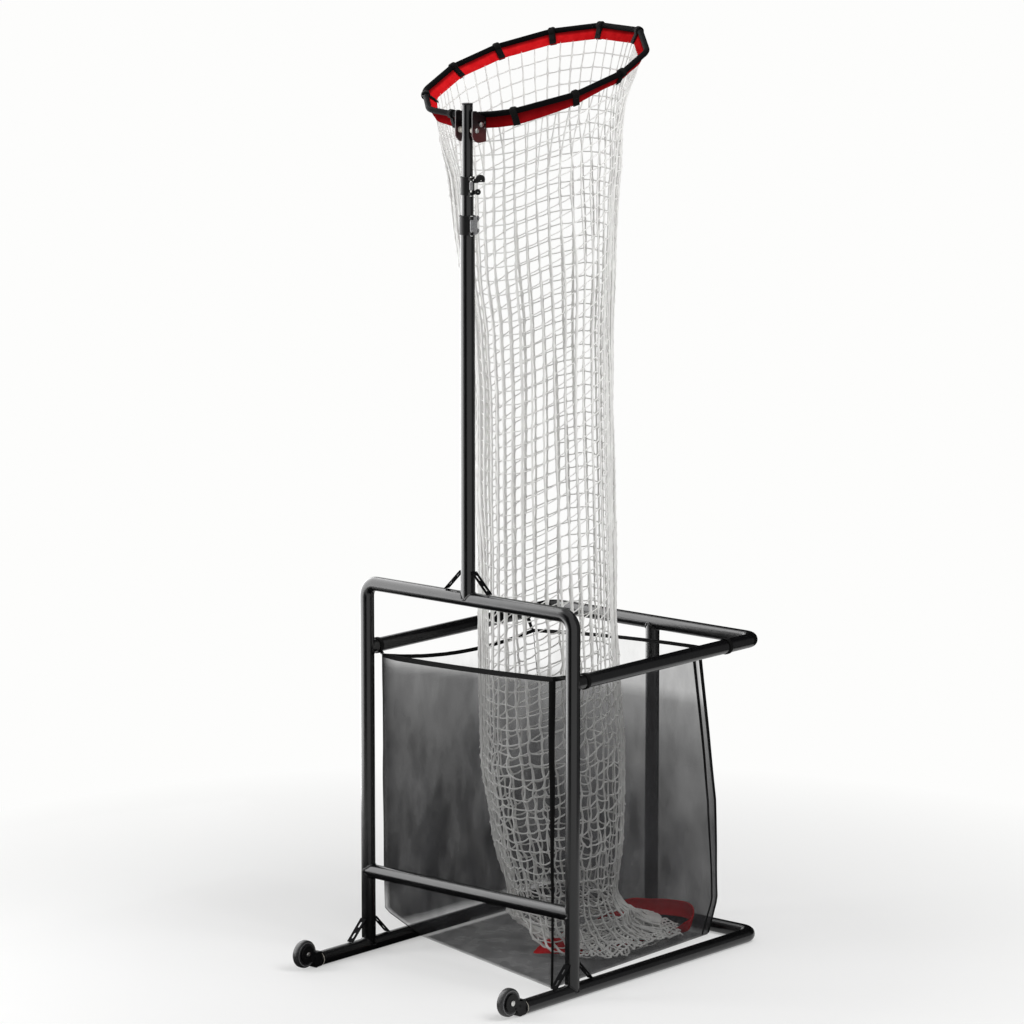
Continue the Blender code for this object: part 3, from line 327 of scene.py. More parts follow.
def addRings(shape, rings, closed=False, capped=True):
    # skins a row of equal rings of points, the first and last filled in unless the row is closed on itself
    first, count = len(shape["points"]), len(rings[0])
    for ring in rings:
        shape["points"] += ring
    for i in range(len(rings) if closed else len(rings) - 1):
        here, there = first + i * count, first + (i + 1) % len(rings) * count
        for side in range(count):
            after = (side + 1) % count
            shape["faces"].append((here + side, here + after, there + after, there + side))
    if capped and not closed:
        last = first + (len(rings) - 1) * count
        shape["faces"].append(tuple(reversed(range(first, first + count))))
        shape["faces"].append(tuple(range(last, last + count)))


def pathFrames(path, closed):
    # the tangent and a steady sideways direction at each point of a path
    count = len(path)
    tangents = []
    for i in range(count):
        before = path[i - 1] if closed or i else path[i]
        after = path[(i + 1) % count] if closed or i < count - 1 else path[i]
        tangents.append((after - before).normalized())
    sideways = [tangents[0].orthogonal().normalized()]
    for tangent in tangents[1:]:
        last = sideways[-1]
        sideways.append((last - tangent * last.dot(tangent)).normalized())
    return tangents, sideways


def addTube(shape, path, radius, sides, closed=False, capped=True, outward=None, flat=1.0):
    # radius is one value or one a point. With outward, the section is flat times as thin that way.
    tangents, sideways = pathFrames(path, closed)
    rings = []
    for i, point in enumerate(path):
        reach = radius[i] if isinstance(radius, (list, tuple)) else radius
        out = outward[i] - tangents[i] * outward[i].dot(tangents[i]) if outward else sideways[i]
        out.normalize()
        across = tangents[i].cross(out)
        turns = [2 * math.pi * side / sides for side in range(sides)]
        rings.append([point + out * reach * flat * math.cos(t) + across * reach * math.sin(t) for t in turns])
    addRings(shape, rings, closed, capped)


def addTurned(shape, profile, centre, axis, sides=48):
    # a closed profile of (radius, way along the axis) spun round it. Points on the axis keep a pinhole.
    pinhole = 0.01 * mm
    centre, axis = Vector(centre), Vector(axis).normalized()
    across = axis.orthogonal().normalized()
    third = axis.cross(across)
    rings = []
    for side in range(sides):
        turn = 2 * math.pi * side / sides
        way = across * math.cos(turn) + third * math.sin(turn)
        rings.append([centre + way * max(reach, pinhole) + axis * along for reach, along in profile])
    addRings(shape, rings, closed=True)


def mirrored(profile):
    # a turned profile and its mirror image the other way along the axis
    return profile + [(reach, -along) for reach, along in reversed(profile)]


def addSlab(shape, outline, centre, across, up, thick, ease):
    # a flat outline in the plane of across and up, thick the third way, its edges eased by a small chamfer
    across, up = Vector(across), Vector(up)
    third = across.cross(up)
    count = len(outline)
    inset = []
    for i, (x, y) in enumerate(outline):
        before, after = Vector(outline[i - 1]), Vector(outline[(i + 1) % count])
        way = (after - before).normalized()
        inset.append((x - way.y * ease, y + way.x * ease))      # outlines run anticlockwise
    half = thick / 2
    layers = [(inset, -half), (outline, -half + ease), (outline, half - ease), (inset, half)]
    rings = [[Vector(centre) + across * x + up * y + third * z for x, y in points] for points, z in layers]
    addRings(shape, rings)


def addStrip(shape, rows, thick, ease):
    # an upright strip, its section a rectangle with eased corners. Each row is a place, the way that the
    # strip faces there, and the heights of its foot and its head.
    half = thick / 2
    rings = []
    for place, normal, low, high in rows:
        section = [
            (half, low + ease), (half, high - ease), (half - ease, high), (ease - half, high),
            (-half, high - ease), (-half, low + ease), (ease - half, low), (half - ease, low),
        ]
        rings.append([Vector((place.x + normal.x * out, place.y + normal.y * out, z)) for out, z in section])
    addRings(shape, rings)


def arcPoints(centre, radius, start, finish, steps):
    # points of an arc in a plane, from one angle to the other in degrees
    turns = [math.radians(start + (finish - start) * step / steps) for step in range(steps + 1)]
    return [(centre[0] + radius * math.cos(t), centre[1] + radius * math.sin(t)) for t in turns]


def roundedPath(corners, radius, steps=14):
    # the corner points joined by straight runs, each inner corner turned into an arc
    corners = [Vector(corner) for corner in corners]
    points = [corners[0]]
    for before, corner, after in zip(corners, corners[1:], corners[2:]):
        toBefore, toAfter = (before - corner).normalized(), (after - corner).normalized()
        half = toBefore.angle(toAfter) / 2
        centre = corner + (toBefore + toAfter).normalized() * (radius / math.sin(half))
        start = corner + toBefore * (radius / math.tan(half)) - centre
        finish = corner + toAfter * (radius / math.tan(half)) - centre
        sweep = start.angle(finish)
        for step in range(steps + 1):
            share = step / steps
            arm = (start * math.sin((1 - share) * sweep) + finish * math.sin(share * sweep)) / math.sin(sweep)
            points.append(centre + arm)
    points.append(corners[-1])
    return points


def smoothStep(value, low, high):
    share = min(1.0, max(0.0, (value - low) / (high - low)))
    return share * share * (3 - 2 * share)


# Welded frame

frameTube = {
    "radius": 19.05 * mm,
    "sides": 40,
    "bend": 36 * mm,
    "width": 716 * mm,          # between the uprights' centres
    "depth": 765 * mm,          # uprights to the back rails
    "crossbar": 224 * mm,
    "basketRail": 835 * mm,
    "topRail": 1011.6 * mm,
    "railFront": -194.5 * mm,   # open ends that the casters plug into
    "weld": 2.6 * mm,
    "overlap": 0.4 * mm,        # how far a coped end reaches into the tube that it meets
}


def weldRing(centre, along, across, radius):
    # the saddle curve where a tube of this radius, which runs along, lands on one of the frame's tubes
    third = along.cross(across)
    points = []
    for step in range(72):
        turn = 2 * math.pi * step / 72
        side, lift = radius * math.cos(turn), radius * math.sin(turn)
        reach = math.sqrt(max(0.0, frameTube["radius"] ** 2 - lift ** 2))
        points.append(centre + across * side + third * lift - along * reach)
    return points


def tubeEnd(path, end):
    # the centre of a path's start or end, end being nought or one, and the way into the path from it
    here, beyond = (path[0], path[1]) if end == 0 else (path[-1], path[-2])
    return here, (beyond - here).normalized()


def coped(path, across, radius):
    # a swept tube, both ends shaped to the round of the tubes that they meet, which run the way of across
    shape, sides = newShape(), frameTube["sides"]
    addTube(shape, path, radius, sides, capped=False)
    for end in (0, 1) if across else ():
        centre, along = tubeEnd(path, end)
        third = along.cross(Vector(across))
        first = end * (len(path) - 1) * sides
        for i in range(first, first + sides):
            lift = (shape["points"][i] - centre).dot(third)
            reach = math.sqrt(max(0.0, frameTube["radius"] ** 2 - lift ** 2))
            shape["points"][i] += along * (reach - frameTube["overlap"])
    return shape


def addWeld(shape, centre, along, across, radius, seed):
    # a hand-laid bead: ripples a few millimetres apart
    points = weldRing(centre, -along, across, radius + 0.8 * mm)
    ripples = [noise.noise(Vector((i * 0.9, seed, 0))) for i in range(len(points))]
    radii = [frameTube["weld"] * (0.85 + 0.25 * ripple) for ripple in ripples]
    addTube(shape, points, radii, 8, closed=True)


def buildFrame():
    half, tube, depth = frameTube["width"] / 2, frameTube["radius"], frameTube["depth"]
    front, bar, rail, top = (frameTube[name] for name in ("railFront", "crossbar", "basketRail", "topRail"))
    baseCorners = [(-half, front, tube), (-half, depth, tube), (half, depth, tube), (half, front, tube)]
    frontCorners = [(-half, 0, tube), (-half, 0, top), (half, 0, top), (half, 0, tube)]
    basketCorners = [(-half, 0, rail), (-half, depth, rail), (half, depth, rail), (half, 0, rail)]
    runs = (
        # name, node, the way of the tubes that its ends meet, and its corners
        ("baseRail", "base_rail", None, baseCorners),
        ("frontFrame", "front_frame", (0, 1, 0), frontCorners),
        ("basketRail", "basket_rail", (0, 0, 1), basketCorners),
        ("frontCrossbar", "front_crossbar", (0, 0, 1), [(-half, 0, bar), (half, 0, bar)]),
        ("rearUpright", "rear_upright", (1, 0, 0), [(0, depth, tube), (0, depth, rail)]),
    )
    for number, (name, nodeName, across, corners) in enumerate(runs):
        path = roundedPath(corners, frameTube["bend"])
        shape = coped(path, across, tube)
        for end in (0, 1) if across else ():
            addWeld(shape, *tubeEnd(path, end), Vector(across), tube, number * 7 + end)
        piece = addPiece(name, shape, "powder_coated_steel")
        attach(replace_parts(piece, nodeName), "frame")


buildFrame()
print("frame done")


# Hoop: a tube bent at eleven places, a coated-cloth band below it and ten webbing straps

hoop = {
    "centre": Vector((-39.5 * mm, 316.6 * mm, 2370.0 * mm)),
    "tilt": math.radians(19.1),
    "roll": math.radians(-3.0),
    "corner": 308 * mm,         # to the corners of the ring's centreline
    "meet": 300 * mm,           # to its two ends, which meet behind the mast
    "meetGap": 0.6 * mm,        # half the gap between them
    "meetRun": 50 * mm,
    "bend": 80 * mm,
    # shares of the way round
    "bends": [0.055, 0.141, 0.220, 0.297, 0.399, 0.486, 0.562, 0.643, 0.719, 0.805, 0.895],
    "ring": 7.8 * mm,
    "bandTop": 6.6 * mm,        # below the ring's centreline
    "bandLow": 37.5 * mm,
    "bandLean": math.radians(42),
    "bandCut": (1.88, 0.031),   # metres, laid flat
    "bandRight": 14.0 * mm,     # from the ends' meeting to where the band starts
    "bandLeft": 38.5 * mm,      # and to where it ends
    "strapWidth": 18 * mm,
    "straps": [0.055, 0.141, 0.220, 0.399, 0.486, 0.562, 0.643, 0.719, 0.826, 0.950],
    "strapPull": 0.035,         # how far from a strap, as a share of the way round, the band is pulled in
}
hoopTurn = Matrix.Rotation(hoop["roll"], 3, "Y") @ Matrix.Rotation(hoop["tilt"], 3, "X")
meetAngle = math.asin(-hoop["centre"].x / hoop["meet"]) - math.pi / 2


def ringPath():
    # the ring's centreline in the hoop's plane, from one end to the other
    radial = levelWay(meetAngle)
    along = leftOf(radial)
    end, gap, run = radial * hoop["meet"], hoop["meetGap"], hoop["meetRun"]
    corners = [end + along * gap, end + along * run]
    corners += [levelWay(meetAngle + share * 2 * math.pi) * hoop["corner"] for share in hoop["bends"]]
    corners += [end - along * run, end - along * gap]
    return roundedPath(corners, hoop["bend"], 8)


ringLine = ringPath()
ringTurns = [(math.atan2(point.y, point.x) - meetAngle) % (2 * math.pi) for point in ringLine]


def ringRadius(angle):
    # the ring's distance from the hoop's centre in this direction
    after = bisect.bisect_left(ringTurns, (angle - meetAngle) % (2 * math.pi))
    after = min(max(after, 1), len(ringTurns) - 1)
    start, run = ringLine[after - 1], ringLine[after] - ringLine[after - 1]
    return (start.x * run.y - start.y * run.x) / (math.cos(angle) * run.y - math.sin(angle) * run.x)


def ringHeading(angle):
    # how far the tube turns there from a circle's direction
    near = 0.02
    slope = (ringRadius(angle + near) - ringRadius(angle - near)) / (2 * near)
    return -math.atan2(slope, ringRadius(angle))


def bandLean(angle):
    # the band hangs plumb beside the mast and leans in more and more away from it
    away = abs((angle - meetAngle + math.pi) % (2 * math.pi) - math.pi)
    return hoop["bandLean"] * smoothStep(away, math.radians(12), math.radians(72))


def inHoop(point):
    return hoop["centre"] + hoopTurn @ point


def belowRing(angle, drop, out=0.0):
    # a point on the leaning band, this far below the ring's centreline and this far proud of the band
    lean = bandLean(angle)
    radius = ringRadius(angle) - drop * math.sin(lean) + out * math.cos(lean)
    lift = -drop * math.cos(lean) - out * math.sin(lean)
    return inHoop(Vector((radius * math.cos(angle), radius * math.sin(angle), lift)))


def strapPull(angle):
    # one at a strap and nought midway between straps
    share = ((angle - meetAngle) / (2 * math.pi)) % 1.0
    away = min(min(abs(share - s), 1 - abs(share - s)) for s in hoop["straps"])
    return max(0.0, 1 - away / hoop["strapPull"])


def buildRing():
    shape = newShape()
    addTube(shape, [inHoop(point) for point in ringLine], hoop["ring"], 28)
    ring = addPiece("hoopRing", shape, "powder_coated_steel", 40, "satin_hoop_coat")
    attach(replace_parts(ring, "hoop_ring"), "hoop")


def buildBand():
    # a strip of coated cloth with a folded hem at both edges, pulled in where the straps bind it
    steps, hem, cloth = 300, 5 * mm, 0.7 * mm
    top, low = hoop["bandTop"], hoop["bandLow"]
    start = hoop["bandRight"] / hoop["meet"]
    finish = 2 * math.pi - hoop["bandLeft"] / hoop["meet"]
    shares = (0, 0.02, 0.16, 0.19, 0.35, 0.5, 0.65, 0.81, 0.84, 0.98, 1)
    drops = [top + share * (low - top) for share in shares]
    rows, paintedShade = [], []
    for step in range(steps + 1):
        angle = meetAngle + start + (finish - start) * step / steps
        swell = (1 - strapPull(angle)) * 1.3 * mm
        outer, inner = [], []
        for drop in drops:
            edge = min(drop - top, low - drop)
            thick = cloth * (1.7 if edge < hem else 1.0) * (0.4 if edge < 0.3 * mm else 1.0)
            ripple = 1.0 * mm * noise.noise(Vector((angle * 9, drop * 60, 3)))
            bulge = swell * math.sin(math.pi * (drop - top) / (low - top))
            outer.append(belowRing(angle, drop, bulge + ripple + thick))
            inner.append(belowRing(angle, drop, bulge + ripple - thick))
        rows.append(outer + inner[::-1])
        # painted shade: the outer face is darkened, most at the top, and the inner face gets a painted shadow
        # under the ring, fading out a third of the way down
        down = [(drop - top) / (low - top) for drop in drops]
        paintedShade += [0.86 - 0.22 * smoothStep(share, 0.1, 0.9) for share in down]
        paintedShade += [0.8 - 0.8 * smoothStep(share, 0.10, 0.36) for share in reversed(down)]
    shape = newShape()
    addRings(shape, rows)
    band = addPiece("hoopBand", shape, "red_vinyl")
    pointValues(band, "paintedShade", paintedShade)
    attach(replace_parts(band, "hoop_band"), "hoop")
    return band


def strapLine(hug, slack, low):
    # a strap's section: up one face of the band, round the ring, and down the other
    start = math.degrees(math.asin(slack / hug))
    line = [Vector((slack, low)), Vector((slack, low * 0.75)), Vector((slack, low * 0.5))]
    for step in range(25):
        turn = math.radians(start + (360 - 2 * start) * step / 24)
        line.append(Vector((hug * math.sin(turn), hug * math.cos(turn))))
    return line + [Vector((-slack, low * 0.5)), Vector((-slack, low * 0.75)), Vector((-slack, low))]


def buildStraps():
    # each strap is a wrap of webbing with eased edges and a second short turn, whose end makes a bump
    half, thick = hoop["strapWidth"] / 2, 1.5 * mm
    low = hoop["bandLow"] + 0.4 * mm
    straps = []
    for number, share in enumerate(hoop["straps"], 1):
        angle = meetAngle + share * 2 * math.pi
        lean = bandLean(angle)
        out = levelWay(angle + ringHeading(angle))
        along = leftOf(out)
        down = Vector((-math.sin(lean) * out.x, -math.sin(lean) * out.y, -math.cos(lean)))
        proud = down.cross(along).normalized()
        middle = levelWay(angle) * ringRadius(angle)
        shape = newShape()
        for layer, span in ((0, 1.0), (1, 0.72)):
            hug, slack = hoop["ring"] + 1.1 * mm + layer * thick, 3.2 * mm + layer * thick
            line = strapLine(hug, slack, low * (1 - 0.3 * layer))
            rows = []
            for index, base in enumerate(line):
                before, after = line[max(0, index - 1)], line[min(len(line) - 1, index + 1)]
                way = (after - before).normalized()
                normal = Vector((-way.y, way.x))
                if normal.dot(base if abs(base.y) < hoop["ring"] + 6 * mm else Vector((base.x, 0))) < 0:
                    normal = -normal
                outer, inner = [], []
                for wide in (-1.0, -0.93, -0.5, 0.0, 0.5, 0.93, 1.0):
                    proudness = thick * (0.35 if abs(wide) == 1.0 else 1.0)
                    proudness *= 1 + 0.35 * noise.noise(Vector((index * 0.5, wide * 2, number * 3 + layer)))
                    top = base + normal * proudness
                    uneven = 1 + 0.04 * noise.noise(Vector((index * 0.4, number, layer)))
                    shift = along * half * wide * span * uneven
                    outer.append(inHoop(middle + proud * top.x + down * top.y + shift))
                    inner.append(inHoop(middle + proud * base.x + down * base.y + shift))
                rows.append(outer + inner[::-1])
            addRings(shape, rows)
        piece = addPiece(f"hoopStrap{number}", shape, "black_webbing", 60)
        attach(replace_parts(piece, f"hoop_strap_{number:02d}"), "hoop")
        straps.append(piece)
    return straps


buildRing()
hoopBand = buildBand()
hoopStraps = buildStraps()
print("hoop done")


# Telescoping mast, its two clamps and the bracket's bolts

mast = {
    "lowerTop": 2016.5 * mm,
    "middle": 16.0 * mm,
    "middleRun": (1080 * mm, 2117 * mm),
    "upper": 14.25 * mm,
    "upperRun": (1150 * mm, 2303.7 * mm),
    "wall": 1.5 * mm,
    "sides": 48,
}


def addPipe(shape, radius, low, high, foot=None):
    # a tube with a real wall and eased rims. foot copes its lower end onto the top rail.
    sides, ease, inside = mast["sides"], 0.4 * mm, radius - mast["wall"]
    profile = [
        (radius, low), (radius, high - ease), (radius - ease, high), (inside + ease, high),
        (inside, high - ease), (inside, low),
    ]
    rings = []
    for reach, height in profile:
        ring = []
        for side in range(sides):
            turn = 2 * math.pi * side / sides
            x, y, z = reach * math.cos(turn), reach * math.sin(turn), height
            if foot is not None and height == low:
                z = foot + math.sqrt(max(0.0, frameTube["radius"] ** 2 - y ** 2)) - frameTube["overlap"]
            ring.append(Vector((x, y, z)))
        rings.append(ring)
    addRings(shape, rings, closed=True)


def buildMast():
    top = frameTube["topRail"]
    shape = newShape()
    addPipe(shape, frameTube["radius"], top, mast["lowerTop"], foot=top)
    addWeld(shape, Vector((0, 0, top)), upright, Vector((1, 0, 0)), frameTube["radius"], 60)
    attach(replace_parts(addPiece("mastLower", shape, "powder_coated_steel"), "mast_lower"), "frame")
    shape = newShape()
    addPipe(shape, mast["middle"], *mast["middleRun"])
    middle = addPiece("mastMiddle", shape, "powder_coated_steel")
    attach(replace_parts(middle, "mast_middle"), "mast_middle_tube")
    shape = newShape()
    addPipe(shape, mast["upper"], *mast["upperRun"])
    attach(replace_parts(addPiece("mastUpper", shape, "powder_coated_steel"), "mast_upper"), "mast_upper_tube")


clamp = {
    "slack": 0.3 * mm,          # between the tube and the collar's bore
    "collar": 2.6 * mm,         # the collar's thickness at its rims
    "pinGap": 5.6 * mm,         # from the collar to the pin's axis
    "plateGap": 1.2 * mm,       # and to a shut lever's plate
    "pinAngle": -25,            # degrees round the mast
    "lug": 8.5 * mm,            # height of each lug
    "lugRadius": 4.8 * mm,
    "split": 150,               # degrees from the pin to the collar's split
    "plate": 3.0 * mm,
    "lower": {"tube": 19.05 * mm, "run": (1968.6 * mm, 2017.5 * mm), "open": 0.0},
    "upper": {"tube": 16.0 * mm, "run": (2071.5 * mm, 2118.0 * mm), "open": -58.0},
}


def pinPlace(word):
    out = clamp[word]["tube"] + clamp["slack"] + clamp["collar"] + clamp["pinGap"]
    turn = math.radians(clamp["pinAngle"])
    return Vector((out * math.cos(turn), out * math.sin(turn), 0))


def leverStation(word, degrees, out=0.0):
    # a place on a lever's plate, so far round from its pin and proud of its middle, and the way it faces
    pin = pinPlace(word)
    spin = Matrix.Rotation(math.radians(clamp[word]["open"]), 3, "Z")
    middle = clamp[word]["tube"] + clamp["slack"] + clamp["collar"] + clamp["plateGap"] + clamp["plate"] / 2
    way = levelWay(math.radians(clamp["pinAngle"] + degrees))
    return spin @ (way * (middle + out) - pin) + pin, spin @ way


def buildCollar(word, body):
    # a split nylon ring with a lip at both rims, raised pads, and two lugs for the lever's pin
    low, high = clamp[word]["run"]
    inner = clamp[word]["tube"] + clamp["slack"]
    outer = inner + clamp["collar"]
    lip = 2.6 * mm
    shape = newShape()
    profile = [
        (inner, low + 0.5 * mm), (inner + 0.6 * mm, low), (outer - 0.6 * mm, low), (outer, low + 0.6 * mm),
        (outer, low + lip), (outer - 0.7 * mm, low + lip + 0.6 * mm),
        (outer - 0.7 * mm, high - lip - 0.6 * mm), (outer, high - lip), (outer, high - 0.6 * mm),
        (outer - 0.6 * mm, high), (inner + 0.6 * mm, high), (inner, high - 0.5 * mm),
    ]
    addTurned(shape, profile, (0, 0, 0), upright, 56)
    pin = pinPlace(word)
    way, reach = pin.normalized(), pin.length
    root, radius = outer - 2.0 * mm, clamp["lugRadius"]
    lug = [(root, -radius - 1.0 * mm), (reach - 1.5 * mm, -radius)]
    lug += [(reach + x, y) for x, y in arcPoints((0, 0), radius, -80, 80, 12)]
    lug += [(reach - 1.5 * mm, radius), (root, radius + 1.0 * mm)]
    for level in (low + clamp["lug"] / 2, high - clamp["lug"] / 2):
        addSlab(shape, lug, (0, 0, level), way, leftOf(way), clamp["lug"], 0.8 * mm)
    away = Matrix.Rotation(math.radians(clamp["split"]), 3, "Z") @ way
    middle, tall = Vector((0, 0, (low + high) / 2)), (high - low) * 0.8
    for hand in (-1, 1):        # the split's two pads, a hair apart
        pad = [(root, 0), (outer + 1.4 * mm, 0), (outer + 1.4 * mm, 3.6 * mm), (root, 5 * mm)]
        pad = [(x, hand * (y + 1.1 * mm)) for x, y in pad]
        addSlab(shape, pad if hand > 0 else pad[::-1], middle, away, leftOf(away), tall, 0.5 * mm)
    piece = addPiece(f"{word}ClampCollar", shape, "glass_filled_nylon", 30)
    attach(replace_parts(piece, f"{word}_clamp_collar"), body)


shutLever = {
    "prongs": (
        # degrees, lowest and highest share of the height, and how many millimetres the plate curls out
        ((56, 0.62, 0.93, 0.0), (62, 0.66, 0.97, 0.3), (68, 0.68, 1.0, 1.0),
         (74, 0.69, 0.99, 2.4), (80, 0.72, 0.96, 4.4), (84, 0.77, 0.90, 6.0)),
        ((56, 0.03, 0.40, 0.0), (62, 0.04, 0.34, 0.3), (68, 0.06, 0.31, 1.0),
         (74, 0.08, 0.30, 2.4), (80, 0.10, 0.28, 4.4), (84, 0.13, 0.24, 6.0)),
    ),
    "bosses": ((66, 0.85, 5.2 * mm), (67, 0.19, 4.2 * mm)),     # degrees, share of the height, and radius
}


def buildShutLever():
    # the lower clamp's lever is shut: a barrel on the pin, a curved plate, and two prongs at its free end
    low, high = clamp["lower"]["run"]
    lift = high - low
    shape = newShape()
    gap = clamp["lug"] + 0.7 * mm
    barrel = [
        (2.5 * mm, low + gap), (4.3 * mm, low + gap), (4.8 * mm, low + gap + 0.5 * mm),
        (4.8 * mm, high - gap - 0.5 * mm), (4.3 * mm, high - gap), (2.5 * mm, high - gap),
    ]
    addTurned(shape, barrel, pinPlace("lower"), upright, 32)
    foot, head = low + gap, high - gap
    neck = [(*leverStation("lower", degrees, -0.2 * mm), foot, head) for degrees in range(2, 22, 3)]
    addStrip(shape, neck, 2.6 * mm, 0.5 * mm)
    web, turns = [], range(14, 59, 3)
    last = len(turns) - 1
    for i, degrees in enumerate(turns):
        head = high - 0.6 * mm - 3.4 * mm * smoothStep(i, 0, last)      # the top edge slants down
        foot = low + 0.6 * mm + 9 * mm * smoothStep(i, 0.55 * len(turns), last)     # and the foot up
        web.append((*leverStation("lower", degrees), foot, head))
    addStrip(shape, web, clamp["plate"], 0.7 * mm)
    for prong in shutLever["prongs"]:
        rows = []
        for degrees, foot, head, curl in prong:
            rows.append((*leverStation("lower", degrees, curl * mm), low + lift * foot, low + lift * head))
        addStrip(shape, rows, clamp["plate"] * 1.15, 0.8 * mm)
    piece = addPiece("lowerClampLever", shape, "cast_lever", 35)
    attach(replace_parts(piece, "lower_clamp_lever"), "lower_lever")

    bosses, rivets = newShape(), newShape()     # moulded bosses on the prongs, and a rivet in each
    for degrees, share, wide in shutLever["bosses"]:
        boss = [(0, -1 * mm), (wide, -1 * mm), (wide, 1.2 * mm), (wide - 0.8 * mm, 2.0 * mm), (0, 2.0 * mm)]
        rivet = [(0, -0.6 * mm), (1.9 * mm, -0.6 * mm), (1.9 * mm, 0.2 * mm), (1.2 * mm, 0.8 * mm)]
        rivet.append((0, 1.0 * mm))
        for target, profile, out, sides in ((bosses, boss, 0.0, 28), (rivets, rivet, 2.0 * mm, 20)):
            place, normal = leverStation("lower", degrees, clamp["plate"] / 2 + out)
            place.z = low + lift * share
            addTurned(target, profile, place, normal, sides)
    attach(addPiece("lowerLeverBosses", bosses, "glass_filled_nylon"), "lower_lever")
    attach(addPiece("lowerLeverRivets", rivets, "zinc_plated_steel"), "lower_lever")


openLever = {
    "arms": [(0.70, 0.93, 46), (0.08, 0.28, 34)],       # lowest and highest share of the height, and degrees
    "lobe": (60, 0.89, 12.4 * mm, 9.0 * mm),    # cam on the upper arm: degrees, share, radius and thickness
    "lobeFlat": -7.0 * mm,                      # its flat foot, from its middle
    "knob": (42, 0.20, 7.6 * mm, 8.5 * mm),     # the round end of the lower arm, as the cam
    "bolts": (
        # degrees, share of the height, radius, the heads' way out from the arm's middle, and to which sides
        (42, 0.20, 1.2 * mm, 4.3 * mm, (-1, 1)),
        (12, 0.86, 2.2 * mm, 2.4 * mm, (1,)),
        (60, 0.83, 1.5 * mm, 4.6 * mm, (-1, 1)),
    ),
}


def buildOpenLever():
    # the upper clamp's lever stands open: a barrel on the pin and two arms, the upper one ending in a cam and
    # the lower one in a round eye with a bright bolt
    low, high = clamp["upper"]["run"]
    lift = high - low

    def placed(degrees, share):
        place, normal = leverStation("upper", degrees)
        place.z = low + lift * share
        return place, normal

    shape, grey, bright = newShape(), newShape(), newShape()
    for foot, head, reach in openLever["arms"]:
        stations = [leverStation("upper", degrees) for degrees in range(2, reach + 1, 4)]
        rows = [(*station, low + lift * foot, low + lift * head) for station in stations]
        addStrip(shape, rows, 4.4 * mm, 0.9 * mm)
    gap = clamp["lug"] + 1.0 * mm
    foot, head = low + gap + 4.5 * mm, high - gap - 2 * mm
    barrel = [(2.5 * mm, foot), (4.9 * mm, foot), (4.9 * mm, head), (2.5 * mm, head)]
    addTurned(grey, barrel, pinPlace("upper"), upright, 32)

    degrees, share, radius, thick = openLever["lobe"]
    place, normal = placed(degrees, share)
    cut = math.degrees(math.asin(openLever["lobeFlat"] / radius))
    outline = arcPoints((0, 0), radius, cut, 180 - cut, 30)
    addSlab(shape, outline, place, normal.cross(upright), upright, thick, 1.6 * mm)
    degrees, share, radius, thick = openLever["knob"]
    place, normal = placed(degrees, share)
    half, ease = thick / 2, 1.2 * mm
    eye = [(0, -half), (radius - ease, -half), (radius, ease - half)]
    addTurned(shape, mirrored(eye), place, normal, 36)
    for degrees, share, size, proud, hands in openLever["bolts"]:
        place, normal = placed(degrees, share)
        dome = [(0, -0.6 * mm), (size, -0.6 * mm), (size, 0.2 * mm), (size * 0.6, 0.9 * mm), (0, 1.1 * mm)]
        for hand in hands:
            addTurned(bright, dome, place + normal * hand * proud, normal * hand, 20)
    lever = addPiece("upperClampLever", shape, "glass_filled_nylon", 35)
    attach(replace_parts(lever, "upper_clamp_lever"), "upper_lever")
    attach(addPiece("upperLeverBarrel", grey, "cast_lever", 35), "upper_lever")
    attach(addPiece("upperLeverBolts", bright, "zinc_plated_steel"), "upper_lever")


def buildClampPin(word, body):
    low, high = clamp[word]["run"]
    head = (high - low) / 2 + 0.3 * mm
    profile = [
        (0, -head - 1.4 * mm), (2.4 * mm, -head - 1.6 * mm), (3.1 * mm, -head - 0.9 * mm),
        (3.1 * mm, -head), (2.2 * mm, -head),
    ]
    shape = newShape()
    addTurned(shape, mirrored(profile), pinPlace(word) + upright * ((low + high) / 2), upright, 32)
    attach(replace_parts(addPiece(f"{word}ClampPin", shape, "zinc_plated_steel"), f"{word}_clamp_pin"), body)


bracket = {
    "pivot": Vector((0, 1.9 * mm, 2237.7 * mm)),
    "lock": Vector((0, 19.1 * mm, 2252.6 * mm)),
    "face": 30.3 * mm,          # outside faces of the two plates, to each side of the mast
}


def hexagon(radius):
    turns = [math.radians(60 * k + 30) for k in range(6)]
    return [(radius * math.cos(turn), radius * math.sin(turn)) for turn in turns]


